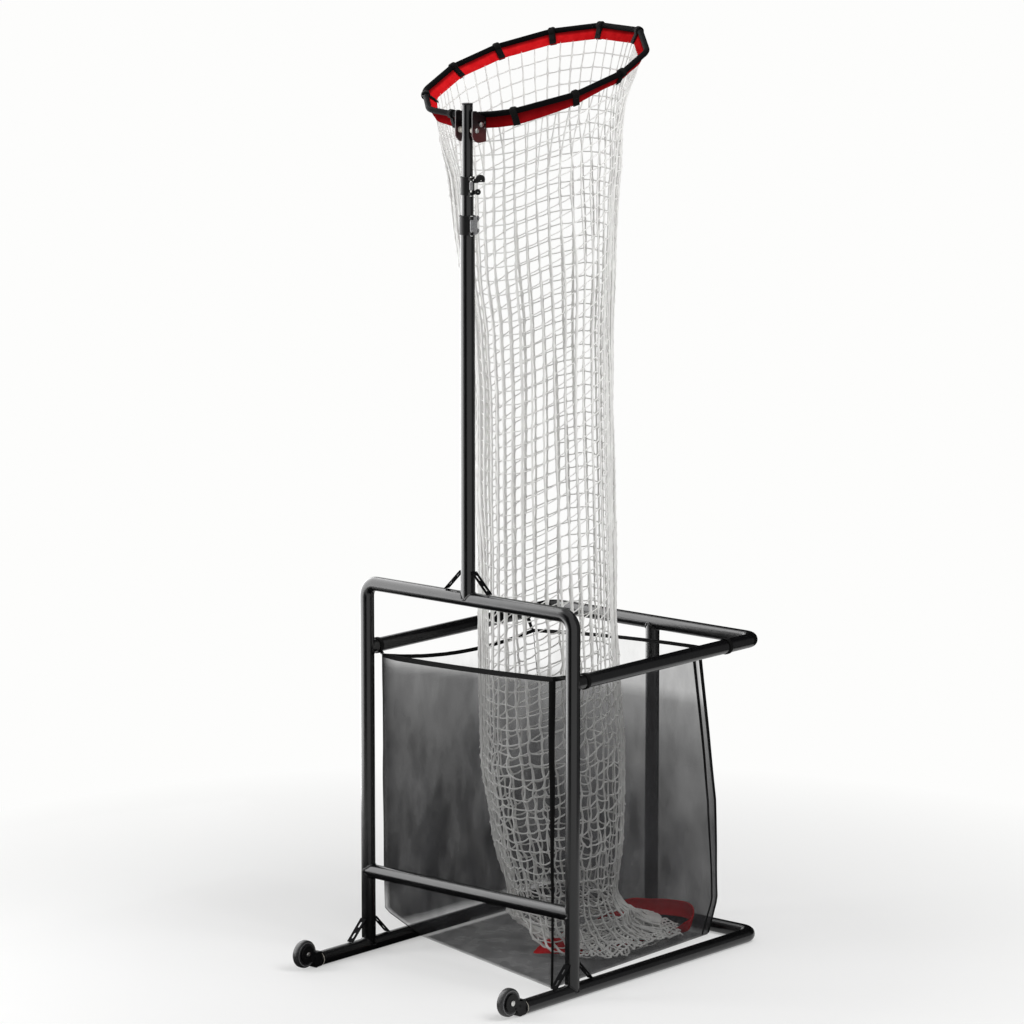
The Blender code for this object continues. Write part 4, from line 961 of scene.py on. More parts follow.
def buildBolts():
    # the pivot bolt has a domed head and a cap nut, the lock bolt a washer and a hexagon at both ends
    face = bracket["face"]
    shape = newShape()
    profile = [
        (0, -face - 5.0 * mm), (3.4 * mm, -face - 4.6 * mm), (5.6 * mm, -face - 3.2 * mm),
        (6.6 * mm, -face - 1.0 * mm), (6.6 * mm, -face), (4.0 * mm, -face),
        (4.0 * mm, face), (6.6 * mm, face), (6.6 * mm, face + 1.4 * mm),
        (5.4 * mm, face + 3.4 * mm), (3.0 * mm, face + 4.3 * mm), (0, face + 4.5 * mm),
    ]
    addTurned(shape, profile, bracket["pivot"], (1, 0, 0), 40)
    piece = addPiece("hoopPivotBolt", shape, "zinc_plated_steel", 30)
    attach(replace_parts(piece, "hoop_pivot_bolt"), "mast_upper_tube")
    shape = newShape()
    start, finish, radius = -face - 6 * mm, face + 4.8 * mm, 3.1 * mm
    shank = [(0, start), (radius, start), (radius, finish), (0, finish)]
    addTurned(shape, shank, bracket["lock"], (1, 0, 0), 24)
    outside = face + 1.4 * mm       # the washers' outer faces
    for hand, tall in ((-1, 4.8 * mm), (1, 3.6 * mm)):
        washer = [(radius, face), (7.0 * mm, face), (7.0 * mm, outside), (radius, outside)]
        addTurned(shape, [(reach, hand * along) for reach, along in washer], bracket["lock"], (1, 0, 0), 40)
        place = bracket["lock"] + Vector((hand * (outside + tall / 2), 0, 0))
        addSlab(shape, hexagon(5.2 * mm), place, (0, 1, 0), upright, tall, 0.5 * mm)
    piece = addPiece("hoopLockBolt", shape, "zinc_plated_steel", 30)
    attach(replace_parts(piece, "hoop_lock_bolt"), "mast_upper_tube")


buildMast()
buildCollar("lower", "frame")
buildCollar("upper", "mast_middle_tube")
buildShutLever()
buildOpenLever()
buildClampPin("lower", "frame")
buildClampPin("upper", "mast_middle_tube")
buildBolts()
print("mast done")


# Casters: a moulded housing plugged into the rail's end, a foot behind the wheel, and a tyre on its hub

caster = {
    "centre": (358 * mm, -254 * mm, 43.5 * mm),     # the right wheel's, and the left one's mirrored
    "wheel": 37.3 * mm,
    "halfTyre": 10 * mm,
    "seat": 27 * mm,            # radius where the tyre meets its hub
    "cheek": (13.6 * mm, 3.6 * mm, 24.5 * mm),      # each cheek's middle, thickness and radius
    "flange": (54.7 * mm, 59.2 * mm, 19 * mm),      # from, to and radius, behind the wheel's centre
    "plug": 16.8 * mm,
    "railDrop": -24.45 * mm,    # the rail's centreline, from the wheel's centre
}


def buildCaster(word, side):
    centre = Vector((side * caster["centre"][0], *caster["centre"][1:]))
    low = -centre.z
    back, face, wide = caster["flange"]
    middle, thick, reach = caster["cheek"]
    plug, across = caster["plug"], (0, 1, 0)

    housing = newShape()
    for hand in (-1, 1):
        outline = arcPoints((0, 0), reach, 66, 262, 26) + [(8 * mm, -22 * mm), (17 * mm, -23 * mm)]
        outline += [(22 * mm, low + 15 * mm), (27 * mm, low + 8 * mm)]
        outline += arcPoints((38.3 * mm, low + 8 * mm), 4 * mm, -70, 0, 5)
        outline += arcPoints((38.3 * mm, -6 * mm), 4 * mm, 0, 80, 6)
        outline += [(28 * mm, 1 * mm), (22 * mm, 6 * mm), (19 * mm, 14 * mm)]
        addSlab(housing, outline, centre + Vector((hand * middle, 0, 0)), across, upright, thick, 0.9 * mm)
        for y, z, size in ((31 * mm, -14 * mm, 3.4 * mm), (13 * mm, -17 * mm, 2.6 * mm)):      # screw bosses
            boss = [(0, 0), (size, 0), (size, 1.6 * mm), (size - 0.8 * mm, 2.2 * mm), (0, 1.4 * mm)]
            place = centre + Vector((hand * (middle + thick / 2 - 0.6 * mm), y, z))
            addTurned(housing, [(out, hand * along) for out, along in boss], place, (1, 0, 0), 20)
    block = arcPoints((51 * mm, -4 * mm), 3.4 * mm, 0, 90, 5) + [(40.3 * mm, 0), (40.3 * mm, low + 3 * mm)]
    block += arcPoints((50.4 * mm, low + 7 * mm), 4 * mm, -90, 0, 5)
    addSlab(housing, block, centre, across, upright, 31 * mm, 1.6 * mm)
    rail = centre + Vector((0, 0, caster["railDrop"]))
    flange = [
        (0, back - 2 * mm), (wide - 1.5 * mm, back - 2 * mm), (wide, back), (wide, face - 1.7 * mm),
        (wide - 1 * mm, face - 1.7 * mm), (wide - 1 * mm, face), (plug, face), (plug, face + 29 * mm),
        (0, face + 30 * mm),
    ]
    addTurned(housing, flange, rail, across, 48)
    foot = [
        (10.5 * mm, 0), (10.5 * mm, 10.5 * mm), (9.5 * mm, 11.8 * mm), (4 * mm, 12 * mm), (3 * mm, 11 * mm),
        (0, 11 * mm),
    ]
    addTurned(housing, mirrored(foot), centre + Vector((0, 37 * mm, low + 10.5 * mm)), (1, 0, 0), 36)
    piece = addPiece(f"{word}CasterHousing", housing, "glass_filled_nylon", 35)
    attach(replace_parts(piece, f"{word}_caster_housing"), "frame")
    lip = newShape()        # a pale ring round the flange's rim, where the housing meets the rail
    ring = [
        (plug, face - 1.5 * mm), (wide - 0.2 * mm, face - 1.5 * mm), (wide + 0.3 * mm, face - 1.0 * mm),
        (wide - 0.1 * mm, face - 0.1 * mm), (plug, face - 0.1 * mm),
    ]
    addTurned(lip, ring, rail, across, 56)
    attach(addPiece(f"{word}CasterLip", lip, "natural_nylon"), "frame")

    axle = newShape()
    outer = middle + thick / 2 + 0.3 * mm
    head = [
        (0, outer + 1.6 * mm), (1.2 * mm, outer + 1.6 * mm), (1.5 * mm, outer + 2.4 * mm),
        (5.2 * mm, outer + 2.2 * mm), (7.2 * mm, outer + 1.2 * mm), (7.2 * mm, outer), (4 * mm, outer),
    ]
    addTurned(axle, mirrored(head), centre, (1, 0, 0), 40)
    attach(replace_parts(addPiece(f"{word}Axle", axle, "zinc_plated_steel", 30), f"{word}_axle"), "frame")

    half, wheel, seat = caster["halfTyre"], caster["wheel"], caster["seat"]
    tyre = [
        (seat + 0.3 * mm, half), (wheel - 7.0 * mm, half), (wheel - 6.6 * mm, half - 0.5 * mm),
        (wheel - 6.0 * mm, half - 0.5 * mm), (wheel - 5.6 * mm, half), (wheel - 3.4 * mm, half - 0.3 * mm),
        (wheel - 1.5 * mm, half - 1.7 * mm), (wheel - 0.4 * mm, half - 4.0 * mm), (wheel, half - 7.5 * mm),
    ]
    shape = newShape()
    addTurned(shape, mirrored(tyre), centre, (1, 0, 0), 72)
    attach(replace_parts(addPiece(f"{word}Tyre", shape, "wheel_rubber"), f"{word}_tyre"), f"{word}_wheel")
    hub = [
        (4.3 * mm, half), (9.5 * mm, half), (10.5 * mm, half - 0.8 * mm), (11.5 * mm, half - 3.5 * mm),
        (21.5 * mm, half - 5.0 * mm), (23.5 * mm, half - 1.5 * mm), (24.2 * mm, half - 0.6 * mm),
        (seat, half - 0.4 * mm),
    ]
    shape = newShape()
    addTurned(shape, mirrored(hub), centre, (1, 0, 0), 56)
    for spoke in range(6):      # moulded ribs from the hub's boss to its rim
        turn = math.radians(60 * spoke + 15)
        way = Vector((0, math.cos(turn), math.sin(turn)))
        rib = [(10 * mm, -1.1 * mm), (23.8 * mm, -0.8 * mm), (23.8 * mm, 0.8 * mm), (10 * mm, 1.1 * mm)]
        addSlab(shape, rib, centre, way, Vector((1, 0, 0)).cross(way), 2 * half - 3.2 * mm, 0.3 * mm)
    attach(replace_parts(addPiece(f"{word}Hub", shape, "wheel_hub", 30), f"{word}_hub"), f"{word}_wheel")
    paintedHighlight = newShape()       # a pale ring between tread and side wall, on both faces: a painted highlight
    for hand in (-1, 1):
        line = []
        for step in range(64):
            turn = 2 * math.pi * step / 64
            arm = Vector((hand * (half - 0.35 * mm), 31.0 * mm * math.cos(turn), 31.0 * mm * math.sin(turn)))
            line.append(centre + arm)
        addTube(paintedHighlight, line, 0.85 * mm, 8, closed=True)
    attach(addPiece(f"{word}TyrePaintedHighlight", paintedHighlight, "cast_lever"), f"{word}_wheel")


buildCaster("left", -1)
buildCaster("right", 1)
print("casters done")


# Net: knotted square mesh, its rows parallel to the hoop, gathered so that its sides fold on themselves

net = {
    "columns": 48,
    "mesh": 36.7 * mm,          # knot to knot down a column
    "cord": 1.7 * mm,           # radius of a slack cord between two uprights
    "front": math.radians(-49.6),       # the side of the net that hangs most open
    "toSides": 0.16,            # how far the columns crowd towards both folded sides
    "folded": math.radians(30),
    "leftFold": math.radians(-139.4),   # where the net's left fold hangs, beside the mast
    "leftBulge": 13 * mm,       # and how far it swells
    "strandTop": 2.7 * mm,      # half width of an upright strand by the hoop
    "strandMiddle": 4.7 * mm,   # and where the net hangs gathered
    "strandBasket": 3.5 * mm,
    "splitHigh": 6,             # rows where the pieces meet
    "splitMiddle": 34,
    "splitLow": 60,
}
chuteRings = [
    # height, middle in Y, radius
    (2.100, 0.2913, 0.2219), (2.082, 0.2900, 0.2180), (1.982, 0.2930, 0.2100), (1.881, 0.3000, 0.2010),
    (1.688, 0.3180, 0.1810), (1.501, 0.3270, 0.1780), (1.232, 0.3320, 0.1810), (0.962, 0.3370, 0.1850),
    (0.714, 0.3490, 0.1910), (0.520, 0.3620, 0.1970), (0.324, 0.3800, 0.1830), (0.124, 0.4060, 0.1460),
]
chuteMiddleX = -14 * mm
chuteTop = 2.100
chuteFoot = 0.1388
dice = random.Random(11)


def between(rows, key):
    # the row of values at a height, from a list that falls in height
    if key >= rows[0][0]:
        return rows[0][1:]
    for upper, lower in zip(rows, rows[1:]):
        if key >= lower[0]:
            share = (upper[0] - key) / (upper[0] - lower[0])
            share = share * share * (3 - 2 * share) * 0.5 + share * 0.5
            return [a + (b - a) * share for a, b in zip(upper[1:], lower[1:])]
    return rows[-1][1:]


def columnTurns():
    # each column's way round from the open front, with the columns twice as close where the net folds
    turns = []
    step = 2 * math.pi / net["columns"]
    for column in range(net["columns"]):
        turn = -math.pi + step * column
        turns.append(turn)
        if abs(abs(turn + step / 2) - math.pi / 2) < net["folded"]:
            turns.append(turn + step / 2)
    return turns


netColumns = columnTurns()


def leftFold(angle, height):
    # one where the net's left fold hangs fullest, beside the mast
    near = max(0.0, math.cos(angle - net["leftFold"])) ** 3
    return near * smoothStep(height, 1.05, 1.30)


def netPoint(angle, drop):
    # where the net's surface is, this far down from the band's lower edge
    rim = belowRing(angle, hoop["bandLow"] - 3 * mm)
    rimMean = hoop["centre"].z - hoop["bandLow"] * math.cos(hoop["bandLean"])
    level = rimMean - drop
    z = level + (rim.z - rimMean) * smoothStep(level, 0.10, 0.80)
    if z > chuteTop:
        middleY, radius = between(chuteRings, chuteTop)
        share = (rim.z - z) / (rim.z - chuteTop)
        bow = 1 - 0.05 * (1 - leftFold(angle, z)) * math.sin(math.pi * share)
        x = rim.x + (chuteMiddleX + radius * math.cos(angle) - rim.x) * share
        y = rim.y + (middleY + radius * math.sin(angle) - rim.y) * share
        grow = net["leftBulge"] * leftFold(angle, z) * smoothStep(share, 0.0, 0.5)
        x, y = x + grow * math.cos(angle), y + grow * math.sin(angle)
        return Vector((chuteMiddleX + (x - chuteMiddleX) * bow, middleY + (y - middleY) * bow, z))
    middleY, radius = between(chuteRings, z)
    radius += net["leftBulge"] * leftFold(angle, z)
    return Vector((chuteMiddleX + radius * math.cos(angle), middleY + radius * math.sin(angle), z))


def netAngle(column, drop):
    # a column's way round, crowding to the sides and wandering as the net gathers
    turn = netColumns[column % len(netColumns)]
    gather = smoothStep(drop, 0.10, 0.60)
    wander = noise.noise(Vector((math.cos(turn) * 2.2, math.sin(turn) * 2.2, drop * 1.7)))
    pair = noise.noise(Vector((column * 0.73, drop * 1.3, 4.0)))
    loosen = smoothStep(drop, 1.45, 1.75)
    turn += gather * (net["toSides"] * math.sin(2 * turn) + 0.06 * wander + (0.035 + 0.05 * loosen) * pair)
    return turn + net["front"]


netKnots = {}


def netKnot(column, row):
    column %= len(netColumns)
    if (column, row) not in netKnots:
        drop = row * net["mesh"]
        angle = netAngle(column, drop)
        point = netPoint(angle, drop)
        loose = 0.6 + 3.4 * smoothStep(drop, 1.40, 1.75)
        pleat = noise.noise(Vector((math.cos(angle) * 3.2, math.sin(angle) * 3.2, drop * 1.1 + 9)))
        side = abs(math.sin(netColumns[column])) ** 6
        out = levelWay(angle)
        across = leftOf(out)
        fade = smoothStep(drop, 0.0, 0.12)
        ripple = noise.noise(Vector((column * 0.4, drop * 2.0, 2.0)))
        fold = side * (6 if column % 2 else -6) * mm * ripple * 1.6
        point += out * fade * (-5 * mm + 8 * mm * pleat + fold)
        point += across * fade * loose * dice.uniform(-1.4, 1.4) * mm
        point.z += fade * loose * dice.uniform(-2.2, 2.2) * mm
        netKnots[(column, row)] = point
    return netKnots[(column, row)]


def strandWidth(drop):
    width = net["strandTop"] + (net["strandMiddle"] - net["strandTop"]) * smoothStep(drop, 0.05, 0.60)
    return width + (net["strandBasket"] - net["strandMiddle"]) * smoothStep(drop, 1.38, 1.62)


def addNetRows(shape, firstRow, lastRow):
    # upright strands with a knot at every crossing, and the slack cords between them
    steps = 4
    for column in range(len(netColumns)):
        thin = 0.62 + 0.38 * dice.random()
        path, radii, outs = [], [], []
        for row in range(firstRow, lastRow + 1):
            here = netKnot(column, row)
            drop = row * net["mesh"]
            angle = netAngle(column, drop)
            out = levelWay(angle)
            width = strandWidth(drop) * thin * (1 + 0.35 * abs(math.sin(netColumns[column])) ** 8)
            width *= 1 + 1.1 * leftFold(angle, here.z) * smoothStep(drop, 0.0, 0.15)
            path.append(here)
            radii.append(width * 1.2 + 0.6 * mm if row else width * 0.8)
            outs.append(out)
            if row == lastRow:
                break
            there = netKnot(column, row + 1)
            across = leftOf(out)
            bow = dice.uniform(-1.2, 1.2) * mm * (0.6 + 3.4 * smoothStep(drop, 1.40, 1.70))
            for step in range(1, steps):
                share = step / steps
                path.append(here.lerp(there, share) + across * bow * math.sin(math.pi * share))
                radii.append(width * (0.86 + 0.10 * dice.random()))
                outs.append(out)
        addTube(shape, path, radii, 6, outward=outs, flat=0.55)
    # the row where two pieces of the net meet belongs to the lower one
    for row in range(max(1, firstRow), lastRow + (1 if lastRow == net["splitLow"] else 0)):
        drop = row * net["mesh"]
        loose = 0.7 + 1.8 * smoothStep(drop, 1.40, 1.70)
        for column in range(len(netColumns)):
            here, there = netKnot(column, row), netKnot(column + 1, row)
            out = levelWay(netAngle(column, drop))
            sag = dice.uniform(0.3, 2.6) * mm * loose
            swing = dice.uniform(-1.5, 2.0) * mm * loose
            path = []
            for step in range(5):
                share = step / 4
                arch = math.sin(math.pi * share)
                path.append(here.lerp(there, share) + Vector((0, 0, -sag * arch)) + out * swing * arch)
            addTube(shape, path, net["cord"] * (1 + 0.35 * smoothStep(drop, 1.40, 1.70)), 5, capped=False)


def buildNet():
    collar = newShape()
    addNetRows(collar, 0, net["splitHigh"])
    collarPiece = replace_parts(addPiece("netCollar", collar, "white_net_cord", 80), "net_collar")
    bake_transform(collarPiece)

    upper = newShape()
    addNetRows(upper, net["splitHigh"], net["splitMiddle"])
    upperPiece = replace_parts(addPiece("netUpper", upper, "white_net_cord", 80), "net_chute")
    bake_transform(upperPiece)

    lower = newShape()
    addNetRows(lower, net["splitMiddle"], net["splitLow"])
    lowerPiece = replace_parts(addPiece("netLower", lower, "white_net_cord", 80), "net_chute")
    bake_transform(lowerPiece)


buildNet()
print("net done")


# The net's end: a bunched skirt and a crumpled heap on the basket's floor, with a loose red band round them

netEnd = {
    "foot": (-14 * mm, 404 * mm, 149 * mm, 149 * mm),       # middle and half widths where the chute ends
    "rim": (55 * mm, 478 * mm, 124 * mm, 214 * mm),         # and at the red band
    "rimHeight": 42 * mm,
    "rightWay": math.radians(-32),      # the side where the net spills over its band
    "leftWay": math.radians(-100),      # the side where a fold of the band lies clear of the net
    "spill": 34 * mm,           # how far the net lies past the band on the near right
    "rows": 7,
    "bulge": 20 * mm,
    "cell": 13 * mm,            # between the heap's knots, where the net lies folded on itself
    "heapReach": (0.93, 0.30, 0.16),    # share of the rim covered, more on the near right, less on the left
    "heapCorner": (70 * mm, 46 * mm, 0.86, 0.88),   # shift and size of a second oval, to the back right
    "heapLimits": (228 * mm, 700 * mm),     # in X and Y, clear of the basket's right side and back
    "foldClear": (135 * mm, 298 * mm),      # in X and Y, before which the band's fold shows on the near left
    "heapCord": 3.7 * mm,
    "bandCloth": 1.1 * mm,
    "bandCut": (1.21, 0.030),   # metres, laid flat
    "bandLaid": [
        # how the red band lies: X, Y and height of its lower edge, its rise, and how far its top leans out
        (0.164, 0.640, 0.005, 0.010, 0.000), (0.206, 0.668, 0.018, 0.034, 0.010),
        (0.184, 0.701, 0.040, 0.042, 0.006), (0.110, 0.706, 0.038, 0.044, 0.004),
        (0.045, 0.698, 0.030, 0.044, 0.004), (-0.020, 0.680, 0.022, 0.042, 0.004),
        (-0.062, 0.600, 0.005, 0.012, 0.0), (-0.050, 0.450, 0.005, 0.009, 0.0),
        (-0.030, 0.360, 0.005, 0.010, 0.004), (-0.006, 0.300, 0.008, 0.016, -0.010),
        (0.014, 0.250, 0.008, 0.024, -0.026), (0.060, 0.256, 0.014, 0.034, -0.030),
        (0.104, 0.278, 0.016, 0.036, -0.026), (0.130, 0.345, 0.005, 0.010, 0.0),
        (0.144, 0.450, 0.005, 0.009, 0.0), (0.150, 0.545, 0.005, 0.010, 0.0),
    ],
}


def nearRight(angle):
    # one towards the side where the net spills over its band
    return smoothStep(math.cos(angle - netEnd["rightWay"]), 0.25, 0.75)


def nearLeft(angle):
    # one towards the fold of the band that lies clear of the net
    return smoothStep(math.cos(angle - netEnd["leftWay"]), 0.60, 0.95)


def skirtPoint(column, share):
    angle = netAngle(column, net["splitLow"] * net["mesh"])
    spread = share ** 1.7
    fall = 1 - (1 - share) ** 1.5
    x, y, wide, deep = (a + (b - a) * spread for a, b in zip(netEnd["foot"], netEnd["rim"]))
    spill = netEnd["spill"] * (nearRight(angle) - nearLeft(angle)) * spread
    wide, deep = wide + spill, deep + spill
    seed = Vector((math.cos(angle) * 2, math.sin(angle) * 2, share * 2.5))
    slack = math.sin(math.pi * share)
    bulge = netEnd["bulge"] * slack * (0.35 + 1.3 * noise.noise(seed))
    low = netEnd["rimHeight"] - 27 * mm * nearRight(angle)
    height = chuteFoot + (low - chuteFoot) * fall + 16 * mm * slack * noise.noise(seed * 1.7)
    point = Vector((x + (wide + bulge) * math.cos(angle), y + (deep + bulge) * math.sin(angle), height))
    jitter = 5 * mm * slack
    return point + Vector([dice.uniform(-jitter, jitter) for axis in range(3)])


def buildSkirt():
    shape = newShape()
    columns, rows = len(netColumns), netEnd["rows"]
    knots = [[skirtPoint(column, row / rows) for column in range(columns)] for row in range(rows + 1)]
    knots[0] = [netKnot(column, net["splitLow"]) for column in range(columns)]
    for column in range(columns):
        path, radii = [], []
        for row in range(rows):
            here, there = knots[row][column], knots[row + 1][column]
            for step in range(3):
                path.append(here.lerp(there, step / 3))
                radii.append((3.4 * mm if step == 0 else 2.4 * mm) + 1.0 * mm * row / rows)
        path.append(knots[rows][column])
        radii.append(3.2 * mm)
        addTube(shape, path, radii, 6)
    for row in range(1, rows + 1):
        for column in range(columns):
            here, there = knots[row][column], knots[row][(column + 1) % columns]
            sag = Vector((0, 0, -dice.uniform(0.5, 5.0) * mm))
            cord = [here, here.lerp(there, 0.33) + sag, here.lerp(there, 0.67) + sag, there]
            addTube(shape, cord, 1.9 * mm, 5)
    return shape


def heapHeight(x, y):
    # the crumpled net's rough upper side
    slow = noise.noise(Vector((x * 16, y * 16, 5)))
    fine = noise.noise(Vector((x * 55, y * 55, 8)))
    return 27 * mm + 15 * mm * slow + 8 * mm * fine


def addHeap(shape):
    # slack cords between knots on a grid, which covers two ovals
    x0, y0, wide, deep = netEnd["rim"]
    reach, more, less = netEnd["heapReach"]
    shiftX, shiftY, narrow, short = netEnd["heapCorner"]
    (rightLimit, backLimit), (clearX, clearY) = netEnd["heapLimits"], netEnd["foldClear"]
    knots = {}
    for i in range(-14, 16):
        for j in range(-24, 24):
            x, y = x0 + i * netEnd["cell"], y0 + j * netEnd["cell"]
            turn = math.atan2((y - y0) / deep, (x - x0) / wide)
            spill = reach + more * nearRight(turn) - less * nearLeft(turn)
            away = math.hypot((x - x0) / wide, (y - y0) / deep)
            corner = math.hypot((x - x0 - shiftX) / (narrow * wide), (y - y0 - shiftY) / (short * deep))
            away = min(away, corner)
            if away < spill and x < rightLimit and y < backLimit and (x > clearX or y > clearY):
                x, y = x + dice.uniform(-4, 4) * mm, y + dice.uniform(-4, 4) * mm
                edge = -14 * mm * smoothStep(away, 0.95, 1.25)
                knots[(i, j)] = Vector((x, y, max(9 * mm, heapHeight(x, y) + edge)))
    for (i, j), here in sorted(knots.items()):
        for other in ((i + 1, j), (i, j + 1)):
            if other in knots and dice.random() > 0.10:
                there = knots[other]
                rise = [dice.uniform(low, high) * mm for low, high in ((-2, 2), (-2, 2), (-1.5, 3.0))]
                size = netEnd["heapCord"] * dice.uniform(0.75, 1.15)
                path = [here, here.lerp(there, 0.5) + Vector(rise), there]
                radii = [size * 1.15, size, size * 1.15]
                addTube(shape, path, radii, 6, outward=[Vector((0.01, 0.02, 1))] * 3, flat=0.6)


def buildNetEnd():
    shape = buildSkirt()
    addHeap(shape)
    piece = addPiece("netTail", shape, "white_net_cord", 80)
    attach(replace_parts(piece, "net_tail"), "frame")


def curveThrough(points, share):
    # the smooth curve through four rows of values, at a share of the way from the second to the third
    values = []
    for p, q, r, s in zip(*points):
        value = 2 * q + (r - p) * share
        value += (2 * p - 5 * q + 4 * r - s) * share ** 2
        value += (3 * q - p - 3 * r + s) * share ** 3
        values.append(0.5 * value)
    return values


def buildEndBand():
    # the red band shows where it leans on the basket's back right corner and where a fold of it lies flat on
    # the near left. Everywhere else it is trodden down under the net.
    rows, laid, steps = [], netEnd["bandLaid"], 14
    for index in range(len(laid)):
        ring = [laid[(index + shift) % len(laid)] for shift in (-1, 0, 1, 2)]
        for step in range(steps):
            share = step / steps
            (x, y, z, tall, lean), ahead = curveThrough(ring, share), curveThrough(ring, share + 0.02)
            outward = Vector((ahead[1] - y, x - ahead[0], 0)).normalized()
            crease = noise.noise(Vector((x * 60, y * 60, 6)))
            outer, inner = [], []
            for up in (0.0, 0.03, 0.16, 0.19, 0.4, 0.6, 0.81, 0.84, 0.97, 1.0):
                hem = 1.6 if min(up, 1 - up) < 0.17 else 1.0
                hem *= 0.4 if min(up, 1 - up) < 0.01 else 1.0
                point = Vector((x, y, max(z, 3 * mm) + max(tall, 5 * mm) * up)) + outward * lean * up
                point += outward * 3 * mm * math.sin(math.pi * up) * (1 + crease)
                outer.append(point + outward * netEnd["bandCloth"] * hem)
                inner.append(point - outward * netEnd["bandCloth"] * hem)
            rows.append(outer + inner[::-1])
    shape = newShape()
    addRings(shape, rows, closed=True)
    band = addPiece("netEndBand", shape, "red_vinyl")
    # the end band's red darkened evenly, through the same mix as the hoop band's painted shade
    pointValues(band, "paintedShade", [0.3] * len(shape["points"]))
    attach(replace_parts(band, "net_end_band"), "frame")


buildNetEnd()
buildEndBand()
print("net end done")


# Basket: black mesh cloth hung from four webbing loops, its bound rim sagging between them

basket = {
    "corners": {
        # height, X and Y of each corner seam, from the floor up to the rim
        "frontLeft": [
            (0.0030, -0.336, 0.194), (0.110, -0.338, 0.044), (0.300, -0.337, 0.038), (0.813, -0.336, 0.035),
        ],
        "frontRight": [
            (0.0030, 0.265, 0.028), (0.110, 0.266, 0.030), (0.300, 0.264, 0.031), (0.832, 0.262, 0.031),
        ],
        "backRight": [
            (0.0030, 0.234, 0.722), (0.110, 0.268, 0.720), (0.390, 0.275, 0.698), (0.820, 0.262, 0.640),
        ],
        "backLeft": [
            (0.0030, -0.334, 0.722), (0.110, -0.336, 0.718), (0.390, -0.336, 0.700), (0.785, -0.335, 0.655),
        ],
    },
    "sag": {"front": 4 * mm, "right": 12 * mm, "back": -6 * mm, "left": 26 * mm},
    "sides": [
        ("front", "frontLeft", "frontRight"), ("right", "frontRight", "backRight"),
        ("back", "backRight", "backLeft"), ("left", "backLeft", "frontLeft"),
    ],
    "cover": {
        # height and the share of the cloth that is thread, where layers and folds of it lie together
        "front": [(0.84, 0.48), (0.22, 0.43), (0.13, 0.26), (0.0, 0.24)],
        "right": [(0.84, 0.48), (0.60, 0.53), (0.0, 0.56)],
        "back": [(0.84, 0.08), (0.69, 0.10), (0.645, 0.62), (0.50, 0.84), (0.25, 0.97), (0.0, 0.97)],
        "left": [
            (0.84, 0.08), (0.805, 0.10), (0.77, 0.74), (0.55, 0.88), (0.30, 0.95), (0.07, 0.95),
            (0.045, 0.35), (0.0, 0.30),
        ],
    },
    "sheerDrop": 0.14,          # how much lower the left side's sheer top band ends at the back
    "floorCover": 0.88,
    "across": 36,               # quads along each side
    "up": 44,                   # quads from floor to rim
    "binding": 3.0 * mm,        # thickness of the folded tape on the rim
    "bindingHeight": {"front": 14 * mm, "right": 11 * mm, "back": 10 * mm, "left": 10.5 * mm},
    "seams": (
        # name, corner, half width at the rim and at the floor, and how far in front of the corner it runs
        ("seamFrontRight", "frontRight", 9.0 * mm, 3.2 * mm, 0.0),
        ("seamBackRight", "backRight", 4.6 * mm, 2.6 * mm, 0.0),
        ("pipingBackRight", "backRight", 4.0 * mm, 2.2 * mm, 26 * mm),
        ("seamBackLeft", "backLeft", 2.6 * mm, 1.8 * mm, 0.0),
        ("seamFrontLeft", "frontLeft", 2.6 * mm, 1.8 * mm, 0.0),
    ),
    "cut": (2.35, 2.45),        # the four sides and the floor laid out flat as a cross
    "cutArea": 2.60,
}


def basketCorner(corner, share):
    rows = basket["corners"][corner]
    height = rows[0][0] + share * (rows[-1][0] - rows[0][0])
    for lower, upper in zip(rows, rows[1:]):
        if height <= upper[0] + 1e-9:
            along = (height - lower[0]) / (upper[0] - lower[0])
            x = lower[1] + (upper[1] - lower[1]) * along
            y = lower[2] + (upper[2] - lower[2]) * along
            return Vector((x, y, height))
    return Vector((rows[-1][1], rows[-1][2], rows[-1][0]))


def basketPoint(sideIndex, along, share):
    # a point of the cloth: along one side from nought to one, and share of the way up it
    side, first, second = basket["sides"][sideIndex]
    start, finish = basketCorner(first, share), basketCorner(second, share)
    point = start.lerp(finish, along)
    point.z -= basket["sag"][side] * share * 4 * along * (1 - along)
    line = finish - start
    out = Vector((line.y, -line.x, 0)).normalized()
    hold = math.sin(math.pi * along) ** 0.5 * math.sin(math.pi * min(1, max(0, share))) ** 0.6
    seed = sideIndex * 20
    slow = noise.noise(Vector((along * 1.6, share * 1.3, seed)))
    # pulls that run down and inwards from the two upper corners, where the loops hold the cloth
    reach = min(math.hypot(along, (1 - share) * 1.2), math.hypot(1 - along, (1 - share) * 1.2))
    fan = math.atan2(1 - share, min(along, 1 - along) + 0.02)
    pull = noise.noise(Vector((fan * 5.5, reach * 1.1, seed + 5))) * math.exp(-reach * 1.6)
    folds = noise.noise(Vector((along * 4.0 - share * 3.0, share * 2.0 + along * 1.5, seed + 7)))
    fine = noise.noise(Vector((along * 16 - share * 9, share * 7 + along * 4, seed + 9)))
    dent = -6 * mm * abs(slow) - 8 * mm * max(0, pull) - 3 * mm * max(0, folds) + 0.8 * mm * fine
    return point + out * hold * dent


def sideCover(sideIndex, along, share):
    # the cover at a point, thinner towards the back's right corner, where a single layer hangs clear
    side = basket["sides"][sideIndex][0]
    height = basketPoint(sideIndex, along, share).z
    if side == "left" and height > 0.3:
        height = min(0.84, height + basket["sheerDrop"] * (1 - along) * smoothStep(height, 0.3, 0.6))
    cover = between(basket["cover"][side], height)[0]
    if side == "back":
        cover *= 1 - 0.18 * (1 - along) ** 2
    if side == "front":
        cover += 0.40 * (1 - smoothStep(along, 0.0, 0.08)) * smoothStep(height, 0.10, 0.25)
    return cover


